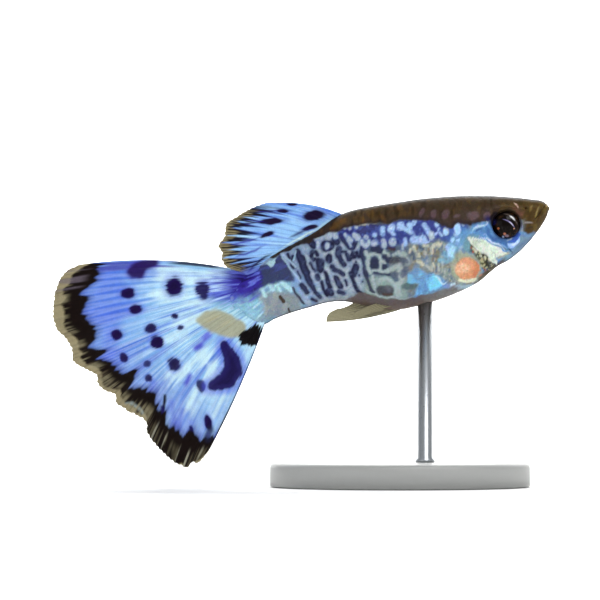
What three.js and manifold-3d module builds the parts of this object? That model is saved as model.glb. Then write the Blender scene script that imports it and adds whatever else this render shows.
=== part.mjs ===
// A fancy guppy, the long-finned show male, as a still, life-size model on a plain display stand.
// Millimetres, +Z up. The head points to +X, and the fish's right side faces -Y.
// The origin is the middle of the flat underside of the stand's base.
// The body is a loft of upright sections from the snout to the tail root, parted into head,
// lower jaw, gill covers, trunk and tail. Each fin is a thin plate whose rays are ridges.
import * as THREE from "three";
import Module from "manifold-3d";

const wasm = await Module();
wasm.setup();

// Driving sizes
const GAP = 0.3; // clearance that touching pieces keep
const SNOUT_X = 14.86; // the tip of the snout, from the stand's middle
const BACK_Z = 29.12; // the top of the back above the floor
const EYE = { x: 10.55, z: 26.2, radius: 1.45, thick: 0.92, y: 1.66 };
const NECK_STATION = 9.7; // where the head ends, as a place along SECTIONS
const VENT_STATION = 14.05; // where the trunk ends and the tail begins
const FIN_HALF = 0.27; // half the thickness of a fin's membrane at its root
const RAY_HALF = 0.38; // half the thickness over a fin ray at its root
const BASE = { halfLength: 13, halfDepth: 9, height: 2.5, chamfer: 0.5 };
const ROD = { x: 2.5, radius: 0.75, top: 19.4 };

// Sections from the snout to the tail root. back and belly are [x, z] on the midline, wide is the
// half width, high is the share of the depth at which the section is widest, and roundBack and
// roundBelly are superellipse powers: 2 is an ellipse, more is boxier.
const section = (back, belly, wide, high, roundBack, roundBelly) => ({
  back,
  belly,
  wide,
  high,
  roundBack,
  roundBelly,
});
const SECTIONS = [
  section([14.84, 28.08], [SNOUT_X, 27.6], 0.6, 0.5, 2.0, 2.0),
  section([14.62, 28.4], [14.64, 26.95], 1.04, 0.55, 2.1, 2.0),
  section([14.1, 28.67], [14.08, 26.0], 1.38, 0.6, 2.3, 2.0),
  section([13.2, 28.8], [13.15, 24.78], 1.74, 0.62, 2.5, 2.0),
  section([12.2, 28.92], [12.1, 23.66], 2.04, 0.62, 2.6, 2.0),
  section([11.0, 29.03], [10.9, 22.7], 2.3, 0.6, 2.6, 2.0),
  section([9.9, 29.1], [9.85, 22.14], 2.46, 0.57, 2.5, 2.0),
  section([8.9, BACK_Z], [9.0, 21.46], 2.6, 0.54, 2.4, 2.0),
  section([7.8, BACK_Z], [7.8, 20.46], 2.76, 0.52, 2.3, 2.0),
  section([6.2, BACK_Z], [6.2, 19.66], 2.92, 0.5, 2.2, 2.0),
  section([4.2, 29.0], [4.2, 18.86], 3.02, 0.48, 2.1, 2.0),
  section([2.0, 28.8], [2.0, 18.2], 3.0, 0.47, 2.05, 2.0),
  section([-0.2, 28.47], [-0.2, 17.76], 2.85, 0.47, 2.0, 2.0),
  section([-2.6, 28.1], [-2.4, 17.95], 2.6, 0.48, 2.0, 2.0),
  section([-5.0, 27.6], [-4.6, 18.44], 2.3, 0.5, 2.0, 2.0),
  section([-6.6, 26.85], [-6.0, 18.6], 2.08, 0.5, 2.0, 2.0),
  section([-8.5, 25.5], [-7.5, 18.42], 1.82, 0.5, 2.0, 2.0),
  section([-10.4, 24.45], [-9.2, 17.95], 1.55, 0.5, 2.0, 2.0),
  section([-12.1, 23.55], [-10.9, 17.45], 1.32, 0.5, 2.0, 2.0),
  section([-13.8, 22.5], [-12.5, 16.85], 1.08, 0.5, 2.0, 2.0),
  section([-15.1, 21.6], [-13.6, 16.3], 0.88, 0.5, 2.0, 2.0),
  section([-16.05, 20.65], [-14.9, 16.65], 0.68, 0.5, 2.0, 2.0),
  section([-16.55, 19.6], [-16.1, 17.8], 0.46, 0.5, 2.0, 2.0),
];
const LAST_STATION = SECTIONS.length - 1;

// The line of the mouth and the seam behind the lower jaw, as [x, z]
const MOUTH_TIP = [14.62, 28.62];
const MOUTH_CORNER = [13.3, 26.7];
const CHIN_SEAM = [12.75, 23.9];
const NOSTRILS = [
  [12.55, 27.95, 0.2],
  [11.95, 27.75, 0.16],
];

// The gill cover's outline, as [x, z], from its upper corner round its free rear edge to the cheek
const GILL_COVER = [
  [8.4, 25.7],
  [6.9, 25.45],
  [5.85, 24.45],
  [5.6, 23.1],
  [6.05, 21.9],
  [7.4, 21.45],
  [8.9, 21.95],
  [10.25, 22.9],
  [10.1, 24.0],
  [9.2, 24.85],
];
const GILL_RAISED = 0.16; // how far the gill cover stands proud
const GILL_THICK = 0.7;
const THROAT = 0.45; // half the strip of throat between the two gill covers

// The colours of the materials
const COLOURS = {
  flank: 0x6f8fb8,
  back: 0x5a4526,
  gill: 0xd6dcc4,
  eye: 0x14100e,
  fin: 0x8fc3f2,
  clear: 0xb9b79a,
  base: 0xc9c9c6,
  rod: 0xb8bcc0,
};
const material = (color, roughness, metalness = 0) =>
  new THREE.MeshStandardMaterial({ color, roughness, metalness });

// Catmull-Rom through equally spaced values, for a place between 0 and their last index
function through(values, place) {
  const last = values.length - 1;
  const at = Math.min(Math.max(Math.floor(place), 0), last - 1);
  const t = place - at;
  const b = values[at];
  const c = values[at + 1];
  const a = at > 0 ? values[at - 1] : 2 * b - c;
  const d = at + 2 <= last ? values[at + 2] : 2 * c - b;
  const slopeIn = (c - a) / 2;
  const slopeOut = (d - b) / 2;
  const t2 = t * t;
  const t3 = t2 * t;
  return (
    b * (2 * t3 - 3 * t2 + 1) +
    slopeIn * (t3 - 2 * t2 + t) +
    c * (3 * t2 - 2 * t3) +
    slopeOut * (t3 - t2)
  );
}

function sectionAt(place) {
  const pick = (read) => through(SECTIONS.map(read), place);
  return section(
    [pick((s) => s.back[0]), pick((s) => s.back[1])],
    [pick((s) => s.belly[0]), pick((s) => s.belly[1])],
    pick((s) => s.wide),
    pick((s) => s.high),
    pick((s) => s.roundBack),
    pick((s) => s.roundBelly),
  );
}

// A point of the body at a place along it and an angle round it: 0 is the left, a quarter turn the back
function bodyPoint(s, angle) {
  const c = Math.cos(angle);
  const h = Math.sin(angle);
  const end = h > 0 ? s.back : s.belly;
  const power = 2 / (h > 0 ? s.roundBack : s.roundBelly);
  const middle = [0, 1].map((k) => s.belly[k] + (s.back[k] - s.belly[k]) * s.high);
  const rise = Math.pow(Math.abs(h), power);
  return new THREE.Vector3(
    middle[0] + (end[0] - middle[0]) * rise,
    s.wide * Math.sign(c) * Math.pow(Math.abs(c), power),
    middle[1] + (end[1] - middle[1]) * rise,
  );
}

// A closed solid from its points and triangles, turned so that its faces point out
function solid(points, triangles) {
  let volume = 0;
  for (const [a, b, c] of triangles)
    volume += points[a].dot(points[b].clone().cross(points[c]));
  const triVerts = new Uint32Array(
    triangles.flatMap(([a, b, c]) => (volume < 0 ? [a, c, b] : [a, b, c])),
  );
  const vertProperties = new Float32Array(points.flatMap((p) => [p.x, p.y, p.z]));
  return new wasm.Manifold(new wasm.Mesh({ numProp: 3, vertProperties, triVerts }));
}

// A loft through closed rings of equal count, with a fan over each end
function loft(rings) {
  const count = rings[0].length;
  const points = rings.flat();
  const triangles = [];
  for (let i = 0; i + 1 < rings.length; i++)
    for (let j = 0; j < count; j++) {
      const a = i * count + j;
      const b = i * count + ((j + 1) % count);
      triangles.push([a, a + count, b + count], [a, b + count, b]);
    }
  for (const [ring, start] of [
    [rings[0], 0],
    [rings.at(-1), (rings.length - 1) * count],
  ]) {
    const middle = points.length;
    points.push(ring.reduce((sum, p) => sum.add(p), new THREE.Vector3()).divideScalar(count));
    for (let j = 0; j < count; j++) {
      const edge = [start + j, start + ((j + 1) % count)];
      triangles.push(start ? [middle, edge[1], edge[0]] : [middle, edge[0], edge[1]]);
    }
  }
  return solid(points, triangles);
}

// How far the head's surface stands out at a point: lips along the mouth, and the rim of the eye
function headRelief(p) {
  const [ax, az] = MOUTH_TIP;
  const [bx, bz] = MOUTH_CORNER;
  const along = ((p.x - ax) * (bx - ax) + (p.z - az) * (bz - az)) / ((bx - ax) ** 2 + (bz - az) ** 2);
  const share = Math.min(Math.max(along, 0), 1);
  const fromMouth = Math.hypot(p.x - ax - share * (bx - ax), p.z - az - share * (bz - az));
  const lips = 0.13 * Math.exp(-((fromMouth / 0.42) ** 2));
  const fromEye = Math.hypot(p.x - EYE.x, p.z - EYE.z);
  const orbit = Math.abs(p.y) > 0.9 ? 0.14 * Math.exp(-(((fromEye - 1.85) / 0.28) ** 2)) : 0;
  return lips + orbit;
}

// The body between two places, grown outwards, with steps rings and around points in a ring
function bodySolid({ from, to, steps, around, grow = 0, relief = () => 0 }) {
  const rings = [];
  for (let i = 0; i <= steps; i++) {
    const s = sectionAt(from + ((to - from) * i) / steps);
    rings.push(
      Array.from({ length: around }, (_, j) => bodyPoint(s, (2 * Math.PI * j) / around)),
    );
  }
  const grown = rings.map((ring, i) =>
    ring.map((p, j) => {
      const ahead = rings[Math.max(i - 1, 0)][j];
      const behind = rings[Math.min(i + 1, steps)][j];
      const before = ring[(j + around - 1) % around];
      const after = ring[(j + 1) % around];
      const normal = behind.clone().sub(ahead).cross(after.clone().sub(before)).normalize();
      return p.clone().addScaledVector(normal, grow + relief(p));
    }),
  );
  if (grow) {
    grown[0].forEach((p) => (p.x += grow));
    grown.at(-1).forEach((p) => (p.x -= grow));
  }
  return loft(grown);
}

// A prism right across the fish with the outline given as [x, z], between two values of y
function prism(outline, low, high) {
  const shape = new THREE.Shape(outline.map(([x, z]) => new THREE.Vector2(x, z)));
  const faces = THREE.ShapeUtils.triangulateShape(shape.getPoints(), []);
  const corners = outline.length;
  const points = [low, high].flatMap((y) => outline.map(([x, z]) => new THREE.Vector3(x, y, z)));
  const triangles = faces.flatMap(([a, b, c]) => [
    [a, b, c],
    [a + corners, c + corners, b + corners],
  ]);
  const turn = THREE.ShapeUtils.isClockWise(shape.getPoints()) ? 1 : -1;
  for (let i = 0; i < corners; i++) {
    const next = (i + 1) % corners;
    const wall = [
      [i, i + corners, next + corners],
      [i, next + corners, next],
    ];
    triangles.push(...wall.map((w) => (turn > 0 ? w.reverse() : w)));
  }
  return solid(points, triangles);
}

// An outline moved outwards by a distance, corner by corner, from its middle line
function widened(outline, distance) {
  const clockwise = THREE.ShapeUtils.isClockWise(outline.map(([x, z]) => new THREE.Vector2(x, z)));
  const side = clockwise ? -1 : 1;
  return outline.map((corner, i) => {
    const before = outline[(i + outline.length - 1) % outline.length];
    const after = outline[(i + 1) % outline.length];
    const edges = [
      [corner[0] - before[0], corner[1] - before[1]],
      [after[0] - corner[0], after[1] - corner[1]],
    ].map(([x, z]) => [x / Math.hypot(x, z), z / Math.hypot(x, z)]);
    const normal = [edges[0][1] + edges[1][1], -edges[0][0] - edges[1][0]];
    const size = Math.hypot(...normal);
    const reach = (side * distance * 2) / (size * size);
    return [corner[0] + normal[0] * reach, corner[1] + normal[1] * reach];
  });
}

// Only the largest closed body of a solid
const largest = (cut) =>
  cut.decompose().reduce((best, one) => (one.volume() > best.volume() ? one : best));

function ellipsoid({ x, y, z, radius, thick }, grow, wide, tall) {
  const ball = new THREE.SphereGeometry(1, wide, tall);
  const rows = [];
  const position = ball.getAttribute("position");
  for (let i = 1; i < tall; i++)
    rows.push(
      Array.from({ length: wide }, (_, j) => {
        const p = new THREE.Vector3().fromBufferAttribute(position, i * (wide + 1) + j);
        // The sphere's poles lie along x, and its thin way along y
        return new THREE.Vector3(
          x + p.y * (radius + grow),
          y + p.x * (thick + grow),
          z + p.z * (radius + grow),
        );
      }),
    );
  const poles = [1, -1].map((side) => new THREE.Vector3(x + side * (radius + grow), y, z));
  const points = rows.flat().concat(poles);
  const triangles = [];
  for (let i = 0; i + 1 < rows.length; i++)
    for (let j = 0; j < wide; j++) {
      const a = i * wide + j;
      const b = i * wide + ((j + 1) % wide);
      triangles.push([a, a + wide, b + wide], [a, b + wide, b]);
    }
  const last = (rows.length - 1) * wide;
  for (let j = 0; j < wide; j++) {
    const next = (j + 1) % wide;
    triangles.push([points.length - 2, j, next], [points.length - 1, last + next, last + j]);
  }
  return solid(points, triangles);
}

// A fin. place(along, across) is a point of its middle surface, with along from 0 at the root to
// 1 at the edge and across from 0 to 1 over the fan; out is the way its faces look. A ridge runs
// along each ray, and both faces split into the same triangles.
function finSolid({ rays, rows, place, out, membrane = FIN_HALF, ray = RAY_HALF, edge = 0.5 }) {
  const columns = 2 * rays;
  const faces = [[], []];
  for (let i = 0; i <= rows; i++)
    for (let j = 0; j <= columns; j++) {
      const along = i / rows;
      const middle = place(along, j / columns);
      const thick = (j % 2 ? ray : membrane) * (1 - (1 - edge) * along ** 4);
      faces[0].push(middle.clone().addScaledVector(out, thick));
      faces[1].push(middle.clone().addScaledVector(out, -thick));
    }
  const points = faces.flat();
  const back = faces[0].length;
  const at = (i, j) => i * (columns + 1) + j;
  const triangles = [];
  for (let i = 0; i < rows; i++)
    for (let j = 0; j < columns; j++) {
      const [a, b, c, d] = [at(i, j), at(i + 1, j), at(i + 1, j + 1), at(i, j + 1)];
      triangles.push([a, b, c], [a, c, d]);
      triangles.push([a + back, c + back, b + back], [a + back, d + back, c + back]);
    }
  const border = [];
  for (let j = 0; j < columns; j++) border.push(at(0, j));
  for (let i = 0; i < rows; i++) border.push(at(i, columns));
  for (let j = columns; j > 0; j--) border.push(at(rows, j));
  for (let i = rows; i > 0; i--) border.push(at(i, 0));
  border.forEach((a, k) => {
    const b = border[(k + 1) % border.length];
    triangles.push([a, b, b + back], [a, b + back, a + back]);
  });
  return solid(points, triangles);
}

// A smooth line through [x, z] points, read by its share of the way along
function line(points) {
  const curve = new THREE.CatmullRomCurve3(points.map(([x, z]) => new THREE.Vector3(x, 0, z)));
  return (share) => curve.getPointAt(Math.min(Math.max(share, 0), 1));
}

// A median fin's middle surface: rays from root to tips, bowed up or down, swung sideways by swing
function fan({ root, tips, bow, swing, tipRipple = 0, rays }) {
  const from = line(root);
  const to = line(tips);
  return (along, across) => {
    const a = from(across);
    const b = to(across);
    const way = b.clone().sub(a);
    const up = new THREE.Vector3(way.z, 0, -way.x).normalize();
    const beyond = tipRipple * Math.cos(2 * Math.PI * rays * across) * along ** 8;
    const p = a.addScaledVector(way, along * (1 - beyond / way.length()));
    p.addScaledVector(up, 4 * along * (1 - along) * bow(across));
    p.y += swing(along, across);
    return p;
  };
}
const smooth = (low, high, x) => THREE.MathUtils.smoothstep(x, low, high);

// The tail fin: a wide fan, longest at the back, with a gently waved hind edge
const TAIL_RAYS = 19;
const tailFan = fan({
  root: [
    [-14.5, 21.35],
    [-15.25, 20.2],
    [-15.3, 18.7],
    [-14.6, 17.5],
    [-13.35, 16.75],
  ],
  tips: [
    [-32.3, 22.25],
    [-33.7, 21.4],
    [-34.4, 19.7],
    [-34.6, 17.5],
    [-34.2, 15.6],
    [-33.0, 14.1],
    [-32.2, 12.4],
    [-30.8, 11.2],
    [-29.8, 9.9],
    [-28.4, 8.3],
    [-26.3, 6.9],
    [-25.2, 5.4],
    [-23.7, 3.4],
    [-22.0, 2.15],
    [-20.6, 2.25],
    [-19.5, 3.1],
  ],
  bow: (t) => 0.88 * (1 - smooth(0, 0.35, t)) - 0.3 * smooth(0.6, 1, t),
  swing: (s, t) =>
    smooth(0.05, 1, s) * (0.45 * Math.sin(2.2 + 8.5 * t) + 0.3 * Math.sin(21 * t) * s * s),
  tipRipple: 0.12,
  rays: TAIL_RAYS,
});

// The dorsal fin: swept back, its hind corner laid to the near side, past the tail fin's edge
const DORSAL_RAYS = 9;
const dorsalFan = fan({
  root: [
    [-5.5, 26.5],
    [-8.3, 24.6],
    [-11.7, 22.75],
  ],
  tips: [
    [-13.6, 28.42],
    [-15.0, 28.05],
    [-16.1, 27.5],
    [-17.1, 26.7],
    [-17.75, 25.6],
    [-18.05, 24.6],
    [-18.0, 23.4],
    [-17.75, 22.5],
    [-17.1, 22.1],
  ],
  bow: (t) => 0.75 - 1.2 * t,
  swing: (s, t) => -1.15 * s ** 1.4 * (0.35 + 0.65 * t) + 0.08 * Math.sin(9 * t) * s,
  tipRipple: 0.1,
  rays: DORSAL_RAYS,
});

// The anal fin, which in the male is the narrow gonopodium, held back along the belly
const analFan = fan({
  root: [
    [0.4, 17.85],
    [-1.9, 18.4],
    [-4.3, 18.9],
  ],
  tips: [
    [-7.45, 16.52],
    [-7.38, 17.1],
    [-7.1, 17.65],
    [-6.5, 18.1],
  ],
  bow: (t) => -0.3 + 0.45 * t,
  swing: () => 0,
  rays: 4,
});

// The paired fins, for a side of 1 on the left and -1 on the right
function pelvicFan(side) {
  return fan({
    root: [
      [0.75, 18.35],
      [0.2, 18.6],
      [-0.4, 18.75],
    ],
    tips: [
      [-4.3, 16.75],
      [-4.75, 17.05],
      [-4.7, 17.4],
    ],
    bow: () => 0.25,
    swing: (s) => side * (0.86 + 0.34 * s),
    rays: 3,
  });
}

function pectoralFan(side) {
  return fan({
    root: [
      [4.85, 22.7],
      [4.75, 22.2],
      [4.75, 21.7],
    ],
    tips: [
      [-0.2, 23.7],
      [-0.95, 23.0],
      [-1.25, 22.1],
      [-1.0, 21.2],
      [-0.2, 20.5],
    ],
    bow: (t) => 0.3 - 0.6 * t,
    swing: (s, t) => side * (2.35 + 2.3 * s - 1.0 * s * s - 0.35 * t * s),
    rays: 6,
  });
}

// A smooth closed loop through [x, z] points
const closedLoop = (points, count) =>
  new THREE.CatmullRomCurve3(points.map(([x, z]) => new THREE.Vector3(x, 0, z)), true)
    .getSpacedPoints(count)
    .slice(1)
    .map((p) => [p.x, p.z]);

// The body's solids
const bodyGrown = bodySolid({ from: 0, to: LAST_STATION, steps: 66, around: 32, grow: GAP });
const skull = bodySolid({
  from: 0,
  to: NECK_STATION,
  steps: 32,
  around: 36,
  relief: headRelief,
});
const FAR = 30; // beyond the fish on every side
const jawOutline = [MOUTH_TIP, MOUTH_CORNER, CHIN_SEAM, [FAR, CHIN_SEAM[1]], [FAR, FAR]];
const gillOutline = closedLoop(GILL_COVER, 26);
const gillPlate = (low, high) =>
  bodySolid({ from: 4, to: 10, steps: 16, around: 36, grow: high }).subtract(
    bodySolid({ from: 3.8, to: 10.2, steps: 16, around: 36, grow: low }),
  );
const gillSeat = gillPlate(-GILL_THICK - GAP + GILL_RAISED, 3 * GILL_RAISED);
const gillShell = gillPlate(-GILL_THICK + GILL_RAISED, GILL_RAISED);

const eyes = [1, -1].map((side) => ({ ...EYE, y: side * EYE.y }));
const [eyeLeft, eyeRight] = eyes.map((eye) => ellipsoid(eye, 0, 16, 12));
const nostrils = NOSTRILS.flatMap(([x, z, radius]) =>
  [1, -1].map((side) => {
    const s = sectionAt(through([0, 1, 2, 3, 4, 5, 6], 5 - (x - 11) * 0.95));
    const surface = { x, z, y: side * (s.wide * 0.86), radius, thick: 0.45 };
    return ellipsoid(surface, 0, 10, 6);
  }),
);

const cutBy = (whole, tools) => tools.reduce((left, tool) => left.subtract(tool), whole);
const lowerJaw = largest(skull.intersect(prism(jawOutline, -FAR, FAR)));
const head = largest(
  cutBy(skull, [
    prism(widened(jawOutline, GAP), -FAR, FAR),
    prism(widened(gillOutline, GAP), -FAR, FAR).intersect(gillSeat),
    ...eyes.map((eye) => ellipsoid(eye, GAP, 16, 12)),
    ...nostrils,
  ]),
);
const gillCover = (side) =>
  largest(
    cutBy(prism(gillOutline, ...[side * THROAT, side * FAR].sort((a, b) => a - b)).intersect(gillShell), [
      ellipsoid({ ...EYE, y: side * EYE.y }, GAP, 16, 12),
    ]),
  );

const trunk = bodySolid({
  from: NECK_STATION + 0.15,
  to: VENT_STATION,
  steps: 12,
  around: 32,
});
const tail = bodySolid({
  from: VENT_STATION + 0.15,
  to: LAST_STATION,
  steps: 22,
  around: 28,
});

// The fins' solids, each cut back to the gap from the body
const LEFT = new THREE.Vector3(0, 1, 0);
const rooted = (plate) => largest(plate.subtract(bodyGrown));
const tailFin = rooted(
  finSolid({ rays: TAIL_RAYS, rows: 14, place: tailFan, out: LEFT, edge: 0.45 }),
);
const dorsalFin = rooted(
  finSolid({ rays: DORSAL_RAYS, rows: 9, place: dorsalFan, out: LEFT, edge: 0.5 }),
);
const analFin = rooted(finSolid({ rays: 4, rows: 9, place: analFan, out: LEFT, edge: 0.6 }));
const pelvicFins = [1, -1].map((side) =>
  rooted(finSolid({ rays: 3, rows: 7, place: pelvicFan(side), out: LEFT, ray: 0.32, edge: 0.6 })),
);
const pectoralFins = [1, -1].map((side) =>
  rooted(
    finSolid({
      rays: 6,
      rows: 8,
      place: pectoralFan(side),
      out: new THREE.Vector3(0.25, side, 0.1).normalize(),
      ray: 0.32,
      edge: 0.5,
    }),
  ),
);

// The stand: a low oval base with a chamfered rim, and one rod up to the belly
function standBase() {
  const { halfLength, halfDepth, height, chamfer } = BASE;
  const ring = (inset, z) =>
    Array.from({ length: 48 }, (_, j) => {
      const angle = (2 * Math.PI * j) / 48;
      return new THREE.Vector3(
        (halfLength - inset) * Math.cos(angle),
        (halfDepth - inset) * Math.sin(angle),
        z,
      );
    });
  return loft([ring(0, 0), ring(0, height - chamfer), ring(chamfer, height)]);
}

function standRod() {
  const ring = (z) =>
    Array.from({ length: 16 }, (_, j) => {
      const angle = (2 * Math.PI * j) / 16;
      return new THREE.Vector3(
        ROD.x + ROD.radius * Math.cos(angle),
        ROD.radius * Math.sin(angle),
        z,
      );
    });
  return rooted(loft([ring(BASE.height + GAP), ring(ROD.top)]));
}

// The scene graph: one named mesh for each piece
function mesh(name, made, look) {
  const { vertProperties, triVerts } = made.getMesh();
  const geometry = new THREE.BufferGeometry();
  geometry.setAttribute("position", new THREE.BufferAttribute(vertProperties, 3));
  geometry.setIndex(new THREE.BufferAttribute(triVerts, 1));
  geometry.computeVertexNormals();
  const piece = new THREE.Mesh(geometry, look);
  piece.name = name;
  return piece;
}

const looks = {
  flank: material(COLOURS.flank, 0.35),
  back: material(COLOURS.back, 0.45),
  gill: material(COLOURS.gill, 0.3, 0.2),
  eye: material(COLOURS.eye, 0.08),
  fin: material(COLOURS.fin, 0.4),
  clear: material(COLOURS.clear, 0.4),
  base: material(COLOURS.base, 0.5),
  rod: material(COLOURS.rod, 0.3, 1),
};

const guppy = new THREE.Group();
guppy.add(
  mesh("head", head, looks.back),
  mesh("lower_jaw", lowerJaw, looks.back),
  mesh("gill_cover_left", gillCover(1), looks.gill),
  mesh("gill_cover_right", gillCover(-1), looks.gill),
  mesh("eye_left", eyeLeft, looks.eye),
  mesh("eye_right", eyeRight, looks.eye),
  mesh("trunk", trunk, looks.flank),
  mesh("tail", tail, looks.flank),
  mesh("dorsal_fin", dorsalFin, looks.fin),
  mesh("caudal_fin", tailFin, looks.fin),
  mesh("anal_fin", analFin, looks.clear),
  mesh("pelvic_fin_left", pelvicFins[0], looks.clear),
  mesh("pelvic_fin_right", pelvicFins[1], looks.clear),
  mesh("pectoral_fin_left", pectoralFins[0], looks.clear),
  mesh("pectoral_fin_right", pectoralFins[1], looks.clear),
  mesh("stand_base", standBase(), looks.base),
  mesh("stand_rod", standRod(), looks.rod),
);

export default guppy;
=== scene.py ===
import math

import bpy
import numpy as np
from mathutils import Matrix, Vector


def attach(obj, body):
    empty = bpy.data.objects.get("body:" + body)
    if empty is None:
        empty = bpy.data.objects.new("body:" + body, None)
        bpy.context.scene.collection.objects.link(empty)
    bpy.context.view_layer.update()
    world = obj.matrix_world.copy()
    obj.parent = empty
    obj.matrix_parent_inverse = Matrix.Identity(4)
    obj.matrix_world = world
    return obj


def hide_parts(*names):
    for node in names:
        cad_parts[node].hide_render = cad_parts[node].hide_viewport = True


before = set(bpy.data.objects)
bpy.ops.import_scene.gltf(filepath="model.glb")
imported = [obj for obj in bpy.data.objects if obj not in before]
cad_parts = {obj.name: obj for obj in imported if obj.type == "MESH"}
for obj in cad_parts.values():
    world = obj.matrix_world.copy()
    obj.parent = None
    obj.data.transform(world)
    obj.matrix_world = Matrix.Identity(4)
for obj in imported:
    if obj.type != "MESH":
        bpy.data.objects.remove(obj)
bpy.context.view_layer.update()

# %% [markdown]
# # A male fancy guppy, life size, on a display stand
# The solids give the sizes of everything in this lesson. We dress them: one seamless skin with its
# scales, the fins with their rays, wet eyes, and the stand. Lengths are typed in millimetres, as a
# model maker reads them, and turned into metres only when a mesh is made.

MM = 0.001


def smooth(low, high, x):
    """0 below low, 1 above high, and an even S in between."""
    t = np.clip((np.asarray(x, float) - low) / (high - low), 0, 1)
    return t * t * (3 - 2 * t)


def bump(distance, width):
    """A soft bell, 1 where distance is 0."""
    return np.exp(-((distance / width) ** 2))


def spline(a, b, c, d, f):
    """A smooth curve from b, where f is 0, to c, where it is 1. It heeds a before and d after them."""
    return b + 0.5 * f * (c - a + f * (2 * a - 5 * b + 4 * c - d + f * (3 * (b - c) + d - a)))


print("halfway between 0 and 1 the S curve reads", float(smooth(0, 1, 0.5)))

# %% [markdown]
# ## Soft irregularity
# Nothing on a living fish is even. Noise nodes could break up a material, but the relief and the
# markings need noise before any material is there. A table of random numbers, read with smooth
# steps in between, gives soft clouds at any size. Its fixed seed makes the same fish on every run.

# %% Clouds from a seeded table
CLOUD_CELLS = 32
CLOUD_TABLE = np.random.default_rng(11).random((CLOUD_CELLS,) * 3) * 2 - 1


def cloud(points, size, seed=0):
    """Smooth noise from -1 to 1 at points in mm. size is a cloud's width, one number or one per axis."""
    p = np.asarray(points, float) / np.asarray(size, float) + 7.31 * seed
    cell = np.floor(p).astype(int)
    f = p - cell
    f = f * f * (3 - 2 * f)
    n = CLOUD_CELLS
    total = np.zeros(p.shape[:-1])
    for i in (0, 1):
        for j in (0, 1):
            for k in (0, 1):
                weight = np.abs(1 - i - f[..., 0]) * np.abs(1 - j - f[..., 1]) * np.abs(1 - k - f[..., 2])
                total += weight * CLOUD_TABLE[
                    (cell[..., 0] + i) % n, (cell[..., 1] + j) % n, (cell[..., 2] + k) % n
                ]
    return total


print("cloud table of", CLOUD_TABLE.size, "numbers, mean", round(float(CLOUD_TABLE.mean()), 3))

# %% [markdown]
# ## From a grid of points to a mesh
# The skin and the fins are all sheets of points in rows. Building them with arrays is quick and
# keeps the polygons in neat quads, which the relief and the colours then follow. Markings are
# stored on the points as colour layers, which the materials read by name.

# %% Helpers that make meshes
def make_piece(name, points, faces, layers, material, uv=None):
    """A smooth mesh object from points in mm, faces of point numbers, and named layers of values."""
    mesh = bpy.data.meshes.new(name)
    mesh.from_pydata((np.asarray(points) * MM).tolist(), [], [list(map(int, f)) for f in faces])
    mesh.polygons.foreach_set("use_smooth", [True] * len(mesh.polygons))
    for layer, values in layers.items():
        values = np.asarray(values, np.float32)
        if values.ndim == 1:
            made = mesh.attributes.new(layer, "FLOAT", "POINT")
            made.data.foreach_set("value", values)
        else:
            made = mesh.attributes.new(layer, "FLOAT_COLOR", "POINT")
            rgba = np.ones((len(values), 4), np.float32)
            rgba[:, :3] = values
            made.data.foreach_set("color", rgba.ravel())
    if uv is not None:
        corners = np.zeros(len(mesh.loops), np.int32)
        mesh.loops.foreach_get("vertex_index", corners)
        bake_map = mesh.uv_layers.new(name="OFBake")
        bake_map.data.foreach_set("uv", np.asarray(uv, np.float32)[corners].ravel())
    mesh.materials.append(material)
    mesh.validate()
    piece = bpy.data.objects.new(name, mesh)
    bpy.context.scene.collection.objects.link(piece)
    print(f"{name}: {len(points)} points, {len(faces)} faces")
    return piece


def grid_faces(rows, columns, start=0, closed=False, flip=False):
    """Quads of a grid of points, row after row. closed joins the last column to the first."""
    i, j = np.meshgrid(np.arange(rows - 1), np.arange(columns if closed else columns - 1), indexing="ij")
    right = (j + 1) % columns
    corners = [i * columns + j, (i + 1) * columns + j, (i + 1) * columns + right, i * columns + right]
    quads = np.stack(corners, -1).reshape(-1, 4) + start
    return quads[:, ::-1] if flip else quads


print("mesh helpers ready")

# %% Colours from a paint chart
def tint(code):
    """A colour typed as on a paint chart, such as 6aa0e8, as the linear values that light needs."""
    srgb = np.array([int(code[k : k + 2], 16) / 255 for k in (0, 2, 4)])
    return np.where(srgb <= 0.04045, srgb / 12.92, ((srgb + 0.055) / 1.055) ** 2.4)


print("cornflower blue as light:", tint("6aa0e8").round(2))

# %% [markdown]
# ## The body's form
# A fish's body could be sculpted, but a loft is easier to measure: upright sections from the snout
# to the tail root, each with a back point, a belly point, a half width, the height of its widest
# place, and how boxy its upper and lower halves are. They are the stations of the solids.

# %% Stations of the body
SNOUT_X = 14.86
BACK_Z = 29.12
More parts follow.
